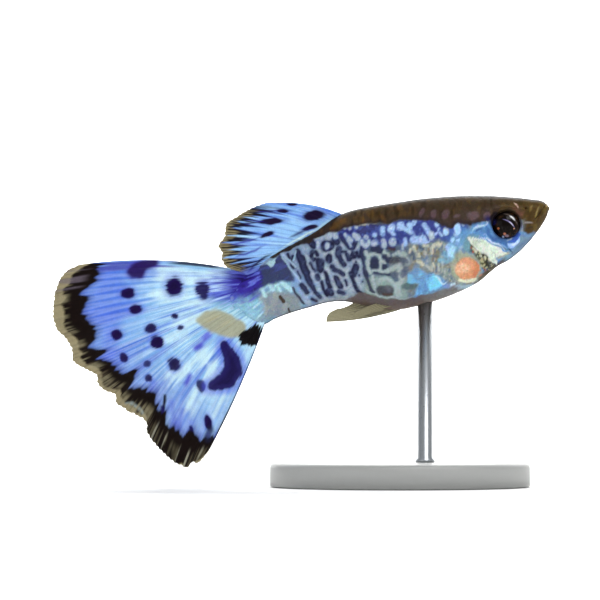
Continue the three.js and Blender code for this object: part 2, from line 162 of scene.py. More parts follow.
# back x, back z, belly x, belly z, half width, height of the widest place, back power, belly power
STATIONS = np.array([
    (14.84, 28.08, SNOUT_X, 27.6, 0.6, 0.5, 2.0, 2.0),
    (14.62, 28.4, 14.64, 26.95, 1.04, 0.55, 2.1, 2.0),
    (14.1, 28.67, 14.08, 26.0, 1.38, 0.6, 2.3, 2.0),
    (13.2, 28.8, 13.15, 24.78, 1.74, 0.62, 2.5, 2.0),
    (12.2, 28.92, 12.1, 23.66, 2.04, 0.62, 2.6, 2.0),
    (11.0, 29.03, 10.9, 22.7, 2.3, 0.6, 2.6, 2.0),
    (9.9, 29.1, 9.85, 22.14, 2.46, 0.57, 2.5, 2.0),
    (8.9, BACK_Z, 9.0, 21.46, 2.6, 0.54, 2.4, 2.0),
    (7.8, BACK_Z, 7.8, 20.46, 2.76, 0.52, 2.3, 2.0),
    (6.2, BACK_Z, 6.2, 19.66, 2.92, 0.5, 2.2, 2.0),
    (4.2, 29.0, 4.2, 18.86, 3.02, 0.48, 2.1, 2.0),
    (2.0, 28.8, 2.0, 18.2, 3.0, 0.47, 2.05, 2.0),
    (-0.2, 28.47, -0.2, 17.76, 2.85, 0.47, 2.0, 2.0),
    (-2.6, 28.1, -2.4, 17.95, 2.6, 0.48, 2.0, 2.0),
    (-5.0, 27.6, -4.6, 18.44, 2.3, 0.5, 2.0, 2.0),
    (-6.6, 26.85, -6.0, 18.6, 2.08, 0.5, 2.0, 2.0),
    (-8.5, 25.5, -7.5, 18.42, 1.82, 0.5, 2.0, 2.0),
    (-10.4, 24.45, -9.2, 17.95, 1.55, 0.5, 2.0, 2.0),
    (-12.1, 23.55, -10.9, 17.45, 1.32, 0.5, 2.0, 2.0),
    (-13.8, 22.5, -12.5, 16.85, 1.08, 0.5, 2.0, 2.0),
    (-15.1, 21.6, -13.6, 16.3, 0.88, 0.5, 2.0, 2.0),
    (-16.05, 20.65, -14.9, 16.65, 0.68, 0.5, 2.0, 2.0),
    (-16.55, 19.6, -16.1, 17.8, 0.46, 0.5, 2.0, 2.0),
])
LAST = len(STATIONS) - 1
print(len(STATIONS), "stations, widest", 2 * STATIONS[:, 4].max(), "mm")

# %% The body between its stations
def station_at(place):
    """The section at places between stations, on smooth curves through all of them."""
    place = np.clip(np.asarray(place, float), 0, LAST)
    at = np.clip(np.floor(place).astype(int), 0, LAST - 1)
    t = (place - at)[..., None]
    padded = np.vstack([2 * STATIONS[0] - STATIONS[1], STATIONS, 2 * STATIONS[-1] - STATIONS[-2]])
    return spline(*(padded[at + k] for k in range(4)), t)


def body_points(place, angle):
    """Points of the bare body. angle runs round a section, from 0 at the left flank over the back."""
    s = station_at(place)
    c, h = np.cos(angle), np.sin(angle)
    power = 2 / np.where(h > 0, s[..., 6], s[..., 7])
    rise = np.abs(h) ** power
    middle = s[..., 2:4] + (s[..., 0:2] - s[..., 2:4]) * s[..., 5:6]
    end = np.where((h > 0)[..., None], s[..., 0:2], s[..., 2:4])
    side = middle + (end - middle) * rise[..., None]
    return np.stack([side[..., 0], s[..., 4] * np.sign(c) * np.abs(c) ** power, side[..., 1]], -1)


print("highest point of the back", body_points(np.array(7.0), np.array(math.pi / 2)).round(2))

# %% Rows and columns of the skin
HEAD_STEP = 0.055
TRUNK_STEP = 0.095
AROUND = 228
fine = np.linspace(0, LAST, 6001)
flank_line = body_points(fine, np.zeros_like(fine))
step = TRUNK_STEP + (HEAD_STEP - TRUNK_STEP) * smooth(4.5, 5.5, flank_line[:, 0])
travelled = np.concatenate([[0], np.cumsum(np.linalg.norm(np.diff(flank_line, axis=0), axis=1))])
rings_passed = np.concatenate([[0], np.cumsum(np.diff(travelled) / step[1:])])
ring_place = np.interp(np.arange(int(rings_passed[-1]) + 1), rings_passed, fine)
ring_place[-1] = LAST
ring_angle = 2 * np.pi * np.arange(AROUND) / AROUND
PLACE, ANGLE = np.meshgrid(ring_place, ring_angle, indexing="ij")
skin = body_points(PLACE, ANGLE)
print("skin rings", len(ring_place), "of", AROUND, "points, flank", round(travelled[-1], 1), "mm long")

# %% [markdown]
# ## Closing the snout and the tail root
# An open loft would show a hole. The snout gets a few rings that shrink forwards in a quarter
# circle, like the bow of a boat. The tail root gets rings that thin to a blade, because the
# flesh runs out over the bases of the fin rays.

# %% End rings
END_RINGS = 8


def end_rings(ring, forward, keep_width, keep_height):
    """Rings that close an end. They shrink to the kept shares of width and height as they move."""
    centre = ring.mean(0)
    made = []
    for k in range(1, END_RINGS + 1):
        turn = math.pi / 2 * k / END_RINGS
        share = math.cos(turn)
        width = keep_width + (1 - keep_width) * share
        height = keep_height + (1 - keep_height) * share
        shrunk = centre + (ring - centre) * np.array([1, width, height])
        made.append(shrunk + np.asarray(forward) * math.sin(turn))
    return np.array(made)


snout_rings = end_rings(skin[0], (0.13, 0, 0.04), 0.02, 0.02)[::-1]
root_rings = end_rings(skin[-1], (-0.55, 0, -0.2), 0.2, 0.9)
skin = np.concatenate([snout_rings, skin, root_rings])
ring_place = np.concatenate([np.full(END_RINGS, 0.0), ring_place, np.full(END_RINGS, float(LAST))])
PLACE, ANGLE = np.meshgrid(ring_place, ring_angle, indexing="ij")
ROWS = len(ring_place)


def surface_normals(points):
    """Outward directions of a closed-round grid of points."""
    along = np.gradient(points, axis=0)
    around = np.roll(points, -1, axis=1) - np.roll(points, 1, axis=1)
    n = np.cross(along, around)
    return n / np.maximum(np.linalg.norm(n, axis=-1, keepdims=True), 1e-9)


normals = surface_normals(skin)
X, Y, Z = skin[..., 0], skin[..., 1], skin[..., 2]
SIDE = np.abs(normals[..., 1])
print("skin grid", skin.shape[:2], "normals point out:", bool((normals[..., 1] * Y).mean() > 0))

# %% [markdown]
# ## Ways to place a form on the body
# The mouth, gill cover and markings are all given in the side view, in millimetres from the
# stand's middle, and land on both flanks. Three rulers do it: the distance to a line, the
# distance inside an outline, and an oval.

# %% Rulers in the side view
def from_line(x, z, line):
    """Distance to a line of [x, z] points, and how far along it the nearest place is, 0 to 1."""
    line = np.asarray(line, float)
    best = np.full(np.shape(x), 1e9)
    share = np.zeros(np.shape(x))
    lengths = np.linalg.norm(np.diff(line, axis=0), axis=1)
    start = 0.0
    for a, b, length in zip(line[:-1], line[1:], lengths):
        t = np.clip(((x - a[0]) * (b[0] - a[0]) + (z - a[1]) * (b[1] - a[1])) / length**2, 0, 1)
        d = np.hypot(x - a[0] - t * (b[0] - a[0]), z - a[1] - t * (b[1] - a[1]))
        closer = d < best
        best = np.where(closer, d, best)
        share = np.where(closer, (start + t * length) / lengths.sum(), share)
        start += length
    return best, share


def inside(x, z, outline):
    """Signed distance to a closed outline of [x, z] points: positive inside."""
    loop = np.asarray(list(outline) + [outline[0]], float)
    distance, _ = from_line(x, z, loop)
    within = np.zeros(np.shape(x), bool)
    for a, b in zip(loop[:-1], loop[1:]):
        crosses = (a[1] > z) != (b[1] > z)
        with np.errstate(divide="ignore", invalid="ignore"):
            meets = (b[0] - a[0]) * (z - a[1]) / (b[1] - a[1]) + a[0]
        within ^= crosses & (x < meets)
    return np.where(within, distance, -distance)


def oval(x, z, centre, width, height, turn=0.0):
    """1 at the middle of an oval, 0 on its edge and below 0 outside. turn is in degrees."""
    c, s = math.cos(math.radians(turn)), math.sin(math.radians(turn))
    u = (x - centre[0]) * c + (z - centre[1]) * s
    v = -(x - centre[0]) * s + (z - centre[1]) * c
    return 1 - np.hypot(u / (width / 2), v / (height / 2))


unit_square = [(-1, -1), (1, -1), (1, 1), (-1, 1)]
print("the middle of a square of 2 mm lies", float(inside(0.0, 0.0, unit_square)), "mm inside it")

# %% Smooth lines and loops
def curve_through(points, share):
    """Points at shares of the length of a smooth curve through the given points."""
    p = np.asarray(points, float)
    padded = np.vstack([2 * p[0] - p[1], p, 2 * p[-1] - p[-2]])
    t = np.linspace(0, len(p) - 1, 60 * len(p))
    at = np.clip(np.floor(t).astype(int), 0, len(p) - 2)
    f = (t - at)[:, None]
    dense = spline(*(padded[at + k] for k in range(4)), f)
    run = np.concatenate([[0], np.cumsum(np.linalg.norm(np.diff(dense, axis=0), axis=1))])
    travel = np.asarray(share) * run[-1]
    return np.stack([np.interp(travel, run, column) for column in dense.T], -1)


def rounded(points, count=40):
    """A smooth closed loop through a few corners."""
    p = np.asarray(points, float)
    n = len(p)
    t = np.arange(count) * n / count
    at = np.floor(t).astype(int)
    f = (t - at)[:, None]
    return spline(*(p[(at + k) % n] for k in (-1, 0, 1, 2)), f)


print("the same square, rounded, reaches out to", rounded(unit_square).max().round(2), "mm")

# %% [markdown]
# ## The head's relief
# The head gets the most care. A guppy's mouth opens upwards at the very tip: a slanting slit
# between two soft lips. Behind it come two nostrils, the rim of the eye socket, the bony cheek
# and the gill cover with its free hind edge. They could be sculpted or cut with other meshes, but
# cuts leave hard rims. So each is a small push in or out of the skin, with a width and a depth.

# %% Mouth, nostrils, eye socket
MOUTH = [(14.7, 28.66), (14.1, 27.6), (13.62, 26.95), (13.3, 26.7)]
EYE_CENTRE = (10.55, 26.2)
EYE_RADIUS = 1.45
# x, z, radius
NOSTRILS = [(12.5, 27.85, 0.17), (11.62, 28.12, 0.13)]
MOUTH_DEPTH, LIP_HEIGHT = 0.13, 0.09
SOCKET_DEPTH, SOCKET_RIM = 1.25, 0.10
NOSTRIL_DEPTH, NOSTRIL_RIM = 0.14, 0.06

relief = np.zeros(X.shape)
to_mouth, along_mouth = from_line(X, Z, MOUTH)
mouth_fade = 1 - smooth(0.9, 1.0, along_mouth) * smooth(0.0, 0.2, to_mouth)
mouth_fade *= 0.35 + 0.65 * smooth(0.05, 0.4, along_mouth)
relief -= MOUTH_DEPTH * bump(to_mouth, 0.07) * mouth_fade
lips = smooth(0.1, 0.4, along_mouth) * (1 - smooth(0.6, 1.0, along_mouth))
relief += LIP_HEIGHT * bump(to_mouth - 0.22, 0.16) * lips

from_eye = np.hypot(X - EYE_CENTRE[0], Z - EYE_CENTRE[1])
on_flank = smooth(0.35, 0.6, SIDE)
relief -= SOCKET_DEPTH * (1 - smooth(EYE_RADIUS - 0.3, EYE_RADIUS + 0.02, from_eye)) * on_flank
relief += SOCKET_RIM * bump(from_eye - EYE_RADIUS - 0.14, 0.13) * on_flank
relief -= 0.04 * bump(from_eye - EYE_RADIUS - 0.42, 0.12) * on_flank

for x, z, radius in NOSTRILS:
    from_nostril = np.hypot(X - x, (Z - z) * 1.3)
    relief -= NOSTRIL_DEPTH * (1 - smooth(radius * 0.3, radius, from_nostril))
    relief += NOSTRIL_RIM * bump(from_nostril - radius * 1.25, radius * 0.45)
print("mouth, sockets and nostrils pressed in, deepest", round(-relief.min(), 2), "mm")

# %% Cheek, gill cover and throat
GILL_COVER = rounded([
    (8.4, 25.7), (6.9, 25.45), (5.85, 24.45), (5.6, 23.1), (6.05, 21.9),
    (7.4, 21.45), (8.9, 21.95), (10.25, 22.9), (10.1, 24.0), (9.2, 24.85),
])
GILL_SLIT = [(6.55, 25.0), (7.5, 24.3), (8.6, 23.2), (9.6, 22.1)]
GILL_HEIGHT, SLIT_DEPTH, RIDGE_HEIGHT = 0.10, 0.10, 0.035
CHEEK_RIDGES = [
    [(9.0, 25.2), (9.6, 24.4), (10.6, 23.9), (12.0, 24.0)],
    [(8.1, 25.6), (8.9, 24.7), (10.0, 23.9), (11.2, 23.5)],
    [(12.35, 25.0), (12.1, 25.9), (12.25, 26.8)],
]
in_gill = inside(X, Z, GILL_COVER)
hind_edge = smooth(7.8, 6.2, X)
relief += GILL_HEIGHT * smooth(-0.05, 0.12, in_gill) * (0.35 + 0.65 * hind_edge)
relief -= 0.05 * bump(in_gill + 0.12, 0.1) * hind_edge
to_slit, along_slit = from_line(X, Z, GILL_SLIT)
slit_ends = smooth(0, 0.1, along_slit) * (1 - smooth(0.92, 1, along_slit))
relief -= SLIT_DEPTH * bump(to_slit, 0.12) * slit_ends
for ridge in CHEEK_RIDGES:
    relief += RIDGE_HEIGHT * bump(from_line(X, Z, ridge)[0], 0.1)
for k in range(3):
    fold = [
        (7.0 + 0.5 * k, 21.1 + 0.26 * k), (8.6 + 0.5 * k, 21.75 + 0.28 * k),
        (10.2 + 0.4 * k, 22.7 + 0.2 * k),
    ]
    relief -= 0.03 * bump(from_line(X, Z, fold)[0], 0.07)
head_bumps = cloud(skin, 0.55, 1) * 0.5 + cloud(skin, 0.25, 2) * 0.3
relief += 0.016 * head_bumps * smooth(4.5, 6.0, X)
print("gill cover raised, cheek ridged")

# %% [markdown]
# ## Scales
# Scales lie like roof tiles with their free edges towards the tail: about 27 along the flank.
# A separate mesh for each would be heavy at this size, so each is raised in the skin: at any
# point the highest of the neighbouring tiles wins. The same lattice later places colour.

# %% The scale lattice
SCALE_LENGTH = 0.92
SCALE_HEIGHT = 0.045
SCALE_ROWS = 22
# A tile's half length and half width, in steps of the lattice
TILE_REACH, TILE_SPREAD = 0.78, 0.98
# Scales share this many lots, which is enough for neighbours to differ
LOTS = 997
flank_travel = np.interp(PLACE, fine, travelled)
scale_u = flank_travel / SCALE_LENGTH + 0.25 * np.cos(2 * ANGLE)
scale_v = ANGLE / (2 * np.pi) * SCALE_ROWS


def scale_tiles(u, v):
    """Height of the tiles from 0 to 1, and for each point a number of its scale."""
    height = np.zeros(u.shape)
    owner = np.zeros(u.shape, int)
    base_v = np.round(v)
    for dv in (-1, 0, 1):
        row = base_v + dv
        shift = 0.5 * (row % 2)
        base_u = np.round(u - shift)
        for du in (-1, 0, 1):
            a = u - (base_u + du + shift)
            b = v - row
            tile = 1 - (a / TILE_REACH) ** 2 - (b / TILE_SPREAD) ** 2
            rise = np.clip(tile * 9, 0, 1) * (0.45 + 0.6 * a)
            number = ((base_u + du) * 37 + (row % SCALE_ROWS) * 101).astype(int) % LOTS
            owner = np.where(rise > height, number, owner)
            height = np.maximum(height, rise)
    return height, owner


tiles, scale_number = scale_tiles(scale_u, scale_v)
scaled = smooth(5.9, 5.0, X + 0.4 * (Z - 24)) + smooth(27.4, 28.2, Z) * smooth(10.5, 9.0, X)
scaled = np.clip(scaled, 0, 1) * smooth(-16.3, -14.6, X)
relief += SCALE_HEIGHT * tiles * scaled
relief += 0.006 * cloud(skin, 0.16, 3) * scaled
print("scales raised over", round(100 * scaled.mean()), "% of the skin")

# %% Push the relief out
skin = skin + normals * relief[..., None]
POINTS = skin.reshape(-1, 3)
print("skin width now", round(float(np.ptp(skin[..., 1])), 2), "mm")

# %% [markdown]
# ## Painting the skin, layer by layer
# The colours could be shader nodes alone, but markings that have a place on the animal are easier
# to lay down as a painter does: a ground colour first, then each marking over it through a soft
# mask. The finished paint is kept on the points, and the material adds the fine grain.

# %% A painter's tools
coat = np.tile(tint("5f7f9c"), (len(POINTS), 1))
PX, PZ = POINTS[:, 0], POINTS[:, 2]
PSIDE = SIDE.reshape(-1)
PTILES, PSCALED = tiles.reshape(-1), scaled.reshape(-1)
# Each scale draws two lots, which later shift its colour a little from its neighbours'
scale_lots = np.random.default_rng(12).uniform(-1, 1, (2, LOTS))
PLOT, PLOT2 = scale_lots[:, scale_number.reshape(-1)]
# Markings are drawn with a slightly wavering hand, so that no edge is a clean curve
waver = 0.16 * np.stack([cloud(POINTS, 0.7, 5), cloud(POINTS, 0.7, 6)], -1)
waver += 0.07 * np.stack([cloud(POINTS, 0.28, 7), cloud(POINTS, 0.28, 8)], -1)
WX, WZ = PX + waver[:, 0], PZ + waver[:, 1]
grain = 0.6 * cloud(POINTS, 0.35, 9) + 0.4 * cloud(POINTS, 0.17, 10)


def paint(mask, code, strength=1.0):
    """Lays a colour over the coat through a mask from 0 to 1."""
    amount = np.clip(mask, 0, 1)[:, None] * strength
    coat[:] = coat * (1 - amount) + tint(code) * amount


def patch(outline, code, soft=0.15, strength=1.0, grow=0.0):
    """A marking with an outline of [x, z] points and a soft edge."""
    paint(smooth(-soft, soft, inside(WX, WZ, outline) + grow), code, strength)


def stroke(line, code, width, strength=1.0, taper=True):
    """A painted line."""
    d, along = from_line(WX, WZ, curve_through(line, np.linspace(0, 1, 16)))
    ends = np.sin(np.pi * np.clip(along, 0.02, 0.98)) ** 0.4 if taper else 1.0
    paint(bump(d, width * ends) * ends, code, strength)


print("the painter's hand wavers by up to", round(float(np.abs(waver).max()), 2), "mm")

# %% Dabs of paint
HX, HZ = PX + 0.6 * waver[:, 0], PZ + 0.6 * waver[:, 1]


def dabs(code, strength, table, soft=0.06):
    """Brush marks with round ends. Each row is a width, then points x, z, in tenths of a mm."""
    for width, *line in table:
        line = np.array(line, float).reshape(-1, 2) / 10
        if len(line) == 1:
            line = np.vstack([line, line + 0.01])
        paint(smooth(soft, -soft, from_line(HX, HZ, line)[0] - width / 20), code, strength)


print("dabs waver by up to", round(float(np.abs(HX - PX).max()), 2), "mm")

# %% [markdown]
# ## The snakeskin net
# The flank carries a net of pale lines round dark cells. A ripple pattern could be grown from
# random numbers, but it comes out as even as a zebra. On the real fish the cells are irregular:
# round at mid-flank, long and slanting towards the tail. So each cell is a dab of the brush.

# %% Pale ground of the flank
paint(smooth(-16.5, 8, PX), "93a7b4")
paint(smooth(0.0, -5.0, PX), "97a9b8", 0.9)
paint(smooth(0.1, 0.7, cloud(POINTS, 0.5, 44)) * smooth(0.0, -4.0, PX), "7d90b2", 0.5)
paint(smooth(-7.0, -10.0, PX), "8299b8", 0.8)
paint(smooth(-6.0, -9.0, PX) * smooth(21.8, 20.6, PZ), "7b9cca", 0.8)
paint(smooth(-4.0, -2.0, PX), "889b9c", 0.8)
paint(smooth(-5, 1, PX) * smooth(0.0, 0.9, PLOT), "a3ada2", 0.6)
paint(smooth(-3, 1, PX) * smooth(-0.1, -0.9, PLOT), "66808f", 0.75)
paint(smooth(-0.5, 1.5, PX) * smooth(0.3, 0.9, PLOT2), "8f8666", 0.55)
paint(smooth(-1, 1.5, PX) * smooth(-0.4, -0.9, PLOT2), "5c7fae", 0.6)
paint(smooth(0.2, 0.8, grain) * smooth(-4, -9, PX), "9db6e0", 0.5)
print("flank ground laid")

# %% Dark cells of the net
NET_CELLS = [
    (5, -59, 249, -55, 245, -52, 241, -48, 239), (4.5, -45, 246, -48, 239), (8, -58, 253, -50, 252),
    (5, -61, 238, -62, 234, -61, 230, -59, 225, -56, 222), (2.5, -60, 235, -54, 235),
    (4.5, -53, 232, -51, 227), (4, -47, 234, -48, 230), (4, -51, 228, -45, 230),
    (3.5, -43, 234, -41, 230),
    (4.6, -38, 242, -38, 236, -38, 231, -36, 227, -36, 219, -35, 214, -34, 210, -32, 204),
    (4.5, -38, 239, -32, 239), (5.5, -28, 236, -21, 237, -21, 239), (4, -26, 230, -26, 226),
    (8, -25, 223, -25, 221), (4.5, -18, 231, -16, 230),
    (4.5, -68, 221, -66, 218, -62, 216, -57, 213), (7, -45, 220, -46, 216),
    (3.5, -46, 216, -46, 212), (3.6, -50, 214, -48, 209, -46, 203, -42, 196, -36, 191),
    (6, -64, 208, -62, 204, -60, 201), (2, -55, 207, -53, 202), (2, -44, 225), (2, -41, 212),
    (2, -38, 205), (2.2, -33, 212, -29, 211), (6, -71, 196, -69, 194), (4.5, -61, 195, -57, 194),
    (3.5, -32, 205, -29, 200, -25, 196), (8, -90, 246, -87, 242), (11, -74, 241, -71, 241),
    (4, -82, 232, -84, 235, -88, 235, -89, 231, -87, 227, -85, 228), (8.4, -71, 229, -71, 228),
    (5.5, -102, 235, -101, 230), (2.4, -107, 231, -107, 226), (3, -112, 233, -110, 229),
    (8, -99, 228, -97, 221, -94, 215), (6, -95, 215, -92, 209, -90, 204),
    (4.2, -90, 204, -87, 200, -85, 195, -80, 190), (8.5, -80, 225, -80, 218),
    (2, -90, 224, -85, 216), (4.4, -83, 211, -82, 208), (3.8, -75, 214, -72, 206, -70, 200),
    (3.6, -108, 222, -106, 220), (1.4, -103, 216, -99, 209), (4.5, -98, 202, -93, 195),
    (6, -66, 248, -63, 244), (3.4, -78, 205, -76, 198, -73, 192), (2.8, -88, 188, -84, 186),
]
net_lines = smooth(-3.6, -4.6, PX) * smooth(-10.4, -9.0, PX)
paint(net_lines * smooth(-0.5, 0.3, cloud(POINTS, (0.4, 0.4, 0.4), 76)), "b4c0c8", 0.6)
dabs("4a5980", 0.66, [(width + 2.0, *line) for width, *line in NET_CELLS], 0.16)
dabs("20203c", 1.0, NET_CELLS, 0.08)
dabs("3e4a70", 0.5, [(0.3 * width, *line) for width, *line in NET_CELLS if width > 4], 0.2)
paint(smooth(0.1, 0.5, cloud(POINTS, (0.25, 0.25, 0.25), 77)) * net_lines, "5c6c90", 0.3)
paint(smooth(0.25, 0.9, grain) * smooth(1, -2, PX), "1c1a30", 0.25)
print(len(NET_CELLS), "cells in the net")

# %% [markdown]
# ## The middle of the flank
# In front of the net the pattern breaks up into broad pale loops on slate, then into fine cream
# and brown flecks. The loops have a place on the animal, so they are dabs of the brush. The flecks
# could be dabs too, but there are hundreds, so clouds of noise lay them.

# %% Middle of the flank
middle_top = np.interp(WX, [2.8, 4.2], [24.4, 25.3])
middle = smooth(-3.9, -3.2, PX) * smooth(6.0, 5.0, PX) * smooth(0, 0.4, middle_top - WZ)
paint(middle, "4b5872", 0.9)
paint(middle * smooth(0.4, 1.8, PX), "84918f", 0.85)
paint(middle * smooth(1.4, 0.4, PX) * smooth(21.3, 20.7, WZ), "8fa49e", 0.85)
flecked = middle * smooth(0.2, 1.4, PX)
paint(flecked * smooth(0.1, 0.5, cloud(POINTS, (0.3, 0.3, 0.34), 13)), "5b6f8c", 0.75)
paint(flecked * smooth(0.15, 0.5, cloud(POINTS, (0.24, 0.24, 0.34), 14)), "857757", 0.65)
print("ground of the mid-flank laid")

# %% Pale loops and dark gaps
MIDDLE_PALE = [
    (3.2, -34, 235, -32, 230, -33, 225, -32, 219, -30, 214), (2.8, -27, 216, -21, 217, -16, 214),
    (1.8, -21, 217, -20, 222, -21, 225),
    (3, -32, 232, -28, 232, -25, 233, -21, 232, -20, 228, -18, 225, -16, 225),
    (2.6, -17, 237, -16, 234, -13, 232, -12, 230), (2, -8, 232, -6, 228),
    (3.4, -5, 233, -2, 235, 0, 232, 3, 230, 6, 227), (2.4, 2, 235, 5, 232), (4.6, 7, 226, 7, 224),
    (4.4, -15, 216, -11, 217, -6, 220, -1, 221, 1, 219, -1, 217), (3, -28, 210, -26, 204, -25, 198),
    (3.4, -20, 207, -14, 209, -7, 205, -5, 202), (6, 2, 212, -2, 204, -3, 196, -2, 193),
]
MIDDLE_DARK = [
    (9, -26, 222, -26, 225), (5, -16, 230), (7.5, -26, 238, -21, 237), (6, -16, 220),
    (6.5, -12, 227, 2, 227), (2.4, -26, 214, -19, 213, -10, 212),
    (3.8, -35, 216, -34, 209, -32, 204, -30, 199, -27, 195), (3, -18, 241, -14, 239),
]
dabs("7f949c", 0.7, [(width + 1.2, *line) for width, *line in MIDDLE_PALE], 0.12)
dabs("a3b2b4", 0.85, MIDDLE_PALE, 0.09)
dabs("2b2e48", 0.92, MIDDLE_DARK, 0.09)
print(len(MIDDLE_PALE), "loops and", len(MIDDLE_DARK), "gaps at mid-flank")

# %% Single marks towards the gill
dabs("41506e", 0.85, [
    (5, 1, 226, 6, 225), (6, -7, 212, -4, 208), (6.5, 3, 213, 4, 215), (5.5, 12, 233, 13, 229),
    (4, 20, 240, 23, 239),
], 0.12)
dabs("3b2733", 0.9, [(6, -10, 239, -8, 239)], 0.12)
dabs("4c5a58", 0.8, [(3.5, -11, 235, -8, 235)], 0.1)
dabs("7389aa", 0.8, [(6.5, 25, 230, 25, 226), (4.4, 17, 222, 14, 218)], 0.15)
dabs("7b6d50", 0.75, [
    (4, 36, 236, 36, 227), (2.4, 21, 234, 24, 231), (2, 28, 240, 28, 232), (2, 33, 230, 32, 226),
    (3, 16, 238),
], 0.1)
dabs("cdcbb4", 0.85, [
    (3.2, 14, 240, 14, 236), (2.8, 17, 235, 19, 231), (4, 18, 226, 22, 223), (3, 31, 239, 31, 234),
    (4.6, 34, 241, 39, 242), (3.4, 24, 242, 27, 241), (2, 10, 238, 9, 234), (1.6, 25, 235, 27, 232),
    (1.8, 32, 224, 33, 221),
], 0.08)
dabs("aeb8b6", 0.8, [
    (2.4, 38, 222, 38, 216), (2, 31, 221, 31, 216), (2, 44, 217, 44, 213), (2.2, 26, 222, 28, 219),
    (2, 41, 227, 42, 222),
], 0.1)
dabs("7aaec8", 0.8, [(7, 44, 233, 50, 229), (4.5, 40, 227, 46, 225)], 0.15)
speckled = middle * smooth(0.2, 1.8, PX)
paint(speckled * smooth(0.15, 0.45, cloud(POINTS, (0.19, 0.19, 0.24), 74)), "4f6280", 0.45)
paint(speckled * smooth(0.2, 0.5, cloud(POINTS, (0.19, 0.19, 0.24), 75)), "c6cabb", 0.35)
print("mid-flank painted over", round(100 * middle.mean()), "% of the skin")

# %% [markdown]
# ## The blue row
# Under the brown back runs a band of deep blue with one pearly spot on each scale. A grid of equal
# dots would look printed, so every spot has its own size and place, with a soft halo under it.

# %% Ground of the blue row
BROWN_EDGE = [
    (-12.5, 23.0), (-11.0, 23.75), (-9.2, 24.5), (-8.3, 24.95), (-7.2, 25.35), (-6.0, 25.7), (-4.6, 26.1),
    (-2.8, 26.35), (-1.0, 26.45), (0.0, 26.7), (1.5, 26.75), (2.6, 26.7), (3.7, 26.5), (4.2, 26.05),
    (5.0, 25.95), (5.7, 26.3), (6.5, 26.35), (7.2, 26.2), (8.1, 26.6), (9.0, 26.7),
]
brown_x, brown_z = np.array(BROWN_EDGE).T
below_edge = np.interp(WX, brown_x, brown_z) - WZ
row_depth = np.interp(PX, [-6.5, -4, -2, 0, 2.8, 4.2, 6.5], [0.6, 1.5, 2.2, 2.4, 2.2, 1.4, 1.2])
blue_row = smooth(-0.1, 0.15, below_edge) * smooth(0.25, -0.25, below_edge - row_depth)
blue_row *= smooth(-7.0, -5.8, PX) * smooth(7.2, 6.2, PX)
paint(blue_row, "2b2966", 0.93)
paint(blue_row * smooth(-2.6, 0.0, PX), "38458a", 0.75)
paint(blue_row * smooth(3.6, 5.5, PX), "4a74b4", 0.7)
paint(blue_row * smooth(0.1, 0.9, cloud(POINTS, 0.6, 15)), "4a5cae", 0.55)
paint(blue_row * smooth(0.0, 0.6, cloud(POINTS, (0.35, 0.35, 0.3), 64)), "292c5e", 0.65)
print("blue row covers", round(100 * blue_row.mean()), "% of the skin")

# %% Pale spots of the blue row
SKY_DABS = [
    (5.2, -18, 259, -18, 253), (7.2, -9, 260, -9, 258), (3, -8, 255, -6, 252),
    (5.6, -1, 262, -1, 259), (4.6, -26, 252), (5.6, 1, 262, 1, 260), (5, 9, 262),
    (4.4, 14, 265, 13, 262), (4.6, 3, 259, 10, 255, 13, 254), (3.6, 10, 259, 10, 255),
    (7.2, 13, 247, 26, 247), (4.2, 4, 247, 5, 243), (4.6, 24, 262, 27, 257, 28, 253), (5, 36, 262),
    (2.6, 38, 258, 35, 253), (2.2, 39, 254, 41, 251), (7, 56, 260, 56, 258), (3.6, 51, 248),
    (3.1, 62, 263), (2.2, 58, 247, 57, 243), (2.4, 52, 241, 54, 237), (4.2, 48, 238, 50, 232),
    (3, 46, 240, 49, 243), (4, 20, 252, 20, 249),
]
PEARL_DABS = [
    (5, -35, 250), (7, -26, 244), (5.4, -17, 246, -17, 241), (7.4, -8, 245),
    (3.6, -39, 246, -39, 243, -35, 241, -32, 244, -32, 246), (5.6, -45, 251, -43, 249),
    (3, -55, 252, -49, 247), (1.5, -52, 247, -50, 241), (3, -55, 259), (2.7, -50, 261, -50, 258),
    (3.8, -44, 260), (5, -70, 252), (4, -65, 254, -65, 250), (2, -78, 250, -78, 248),
    (3.4, -82, 245, -82, 241), (4.4, -73, 242, -73, 240), (6, 31, 252, 31, 250),
    (5.6, 45, 256, 45, 254), (5.8, 55, 253), (3.4, 61, 240), (2, 2, 243, 2, 238),
]
CREAM_DABS = [(2.2, -40, 262), (2, -37, 262, -33, 262), (1.4, -31, 264, -25, 264)]
dabs("6074c0", 0.55, [(width + 1.3, *line) for width, *line in SKY_DABS + PEARL_DABS], 0.14)
dabs("a5c5ec", 0.9, SKY_DABS, 0.09)
dabs("acbcc8", 0.9, PEARL_DABS, 0.09)
dabs("c8ccb4", 0.75, CREAM_DABS, 0.1)
dabs("3a4284", 0.9, [
    (8.5, 16, 257, 18, 254), (5.4, 28, 265, 34, 257), (2, 56, 258), (2.4, 26, 251, 28, 247),
    (3, 5, 252),
])
dabs("dff0fb", 0.6, [
    (2.6, 20, 247), (2.6, 31, 252), (3, 45, 255), (2.6, 55, 252), (3, -9, 259), (2.4, -8, 246),
    (2, -26, 244),
])
paint(blue_row * smooth(0.2, 0.6, cloud(POINTS, (0.22, 0.22, 0.2), 65)), "5468b4", 0.5)
print(len(SKY_DABS) + len(PEARL_DABS) + len(CREAM_DABS), "pale dabs on the blue row")

# %% [markdown]
# ## The tail root
# The narrow part before the fan is navy above and streaked icy blue below, where it runs into the
# rays. Streaks could be drawn one by one, but they all fan out from one place. So a noise is read
# by the angle round that place, which draws it out along the rays.

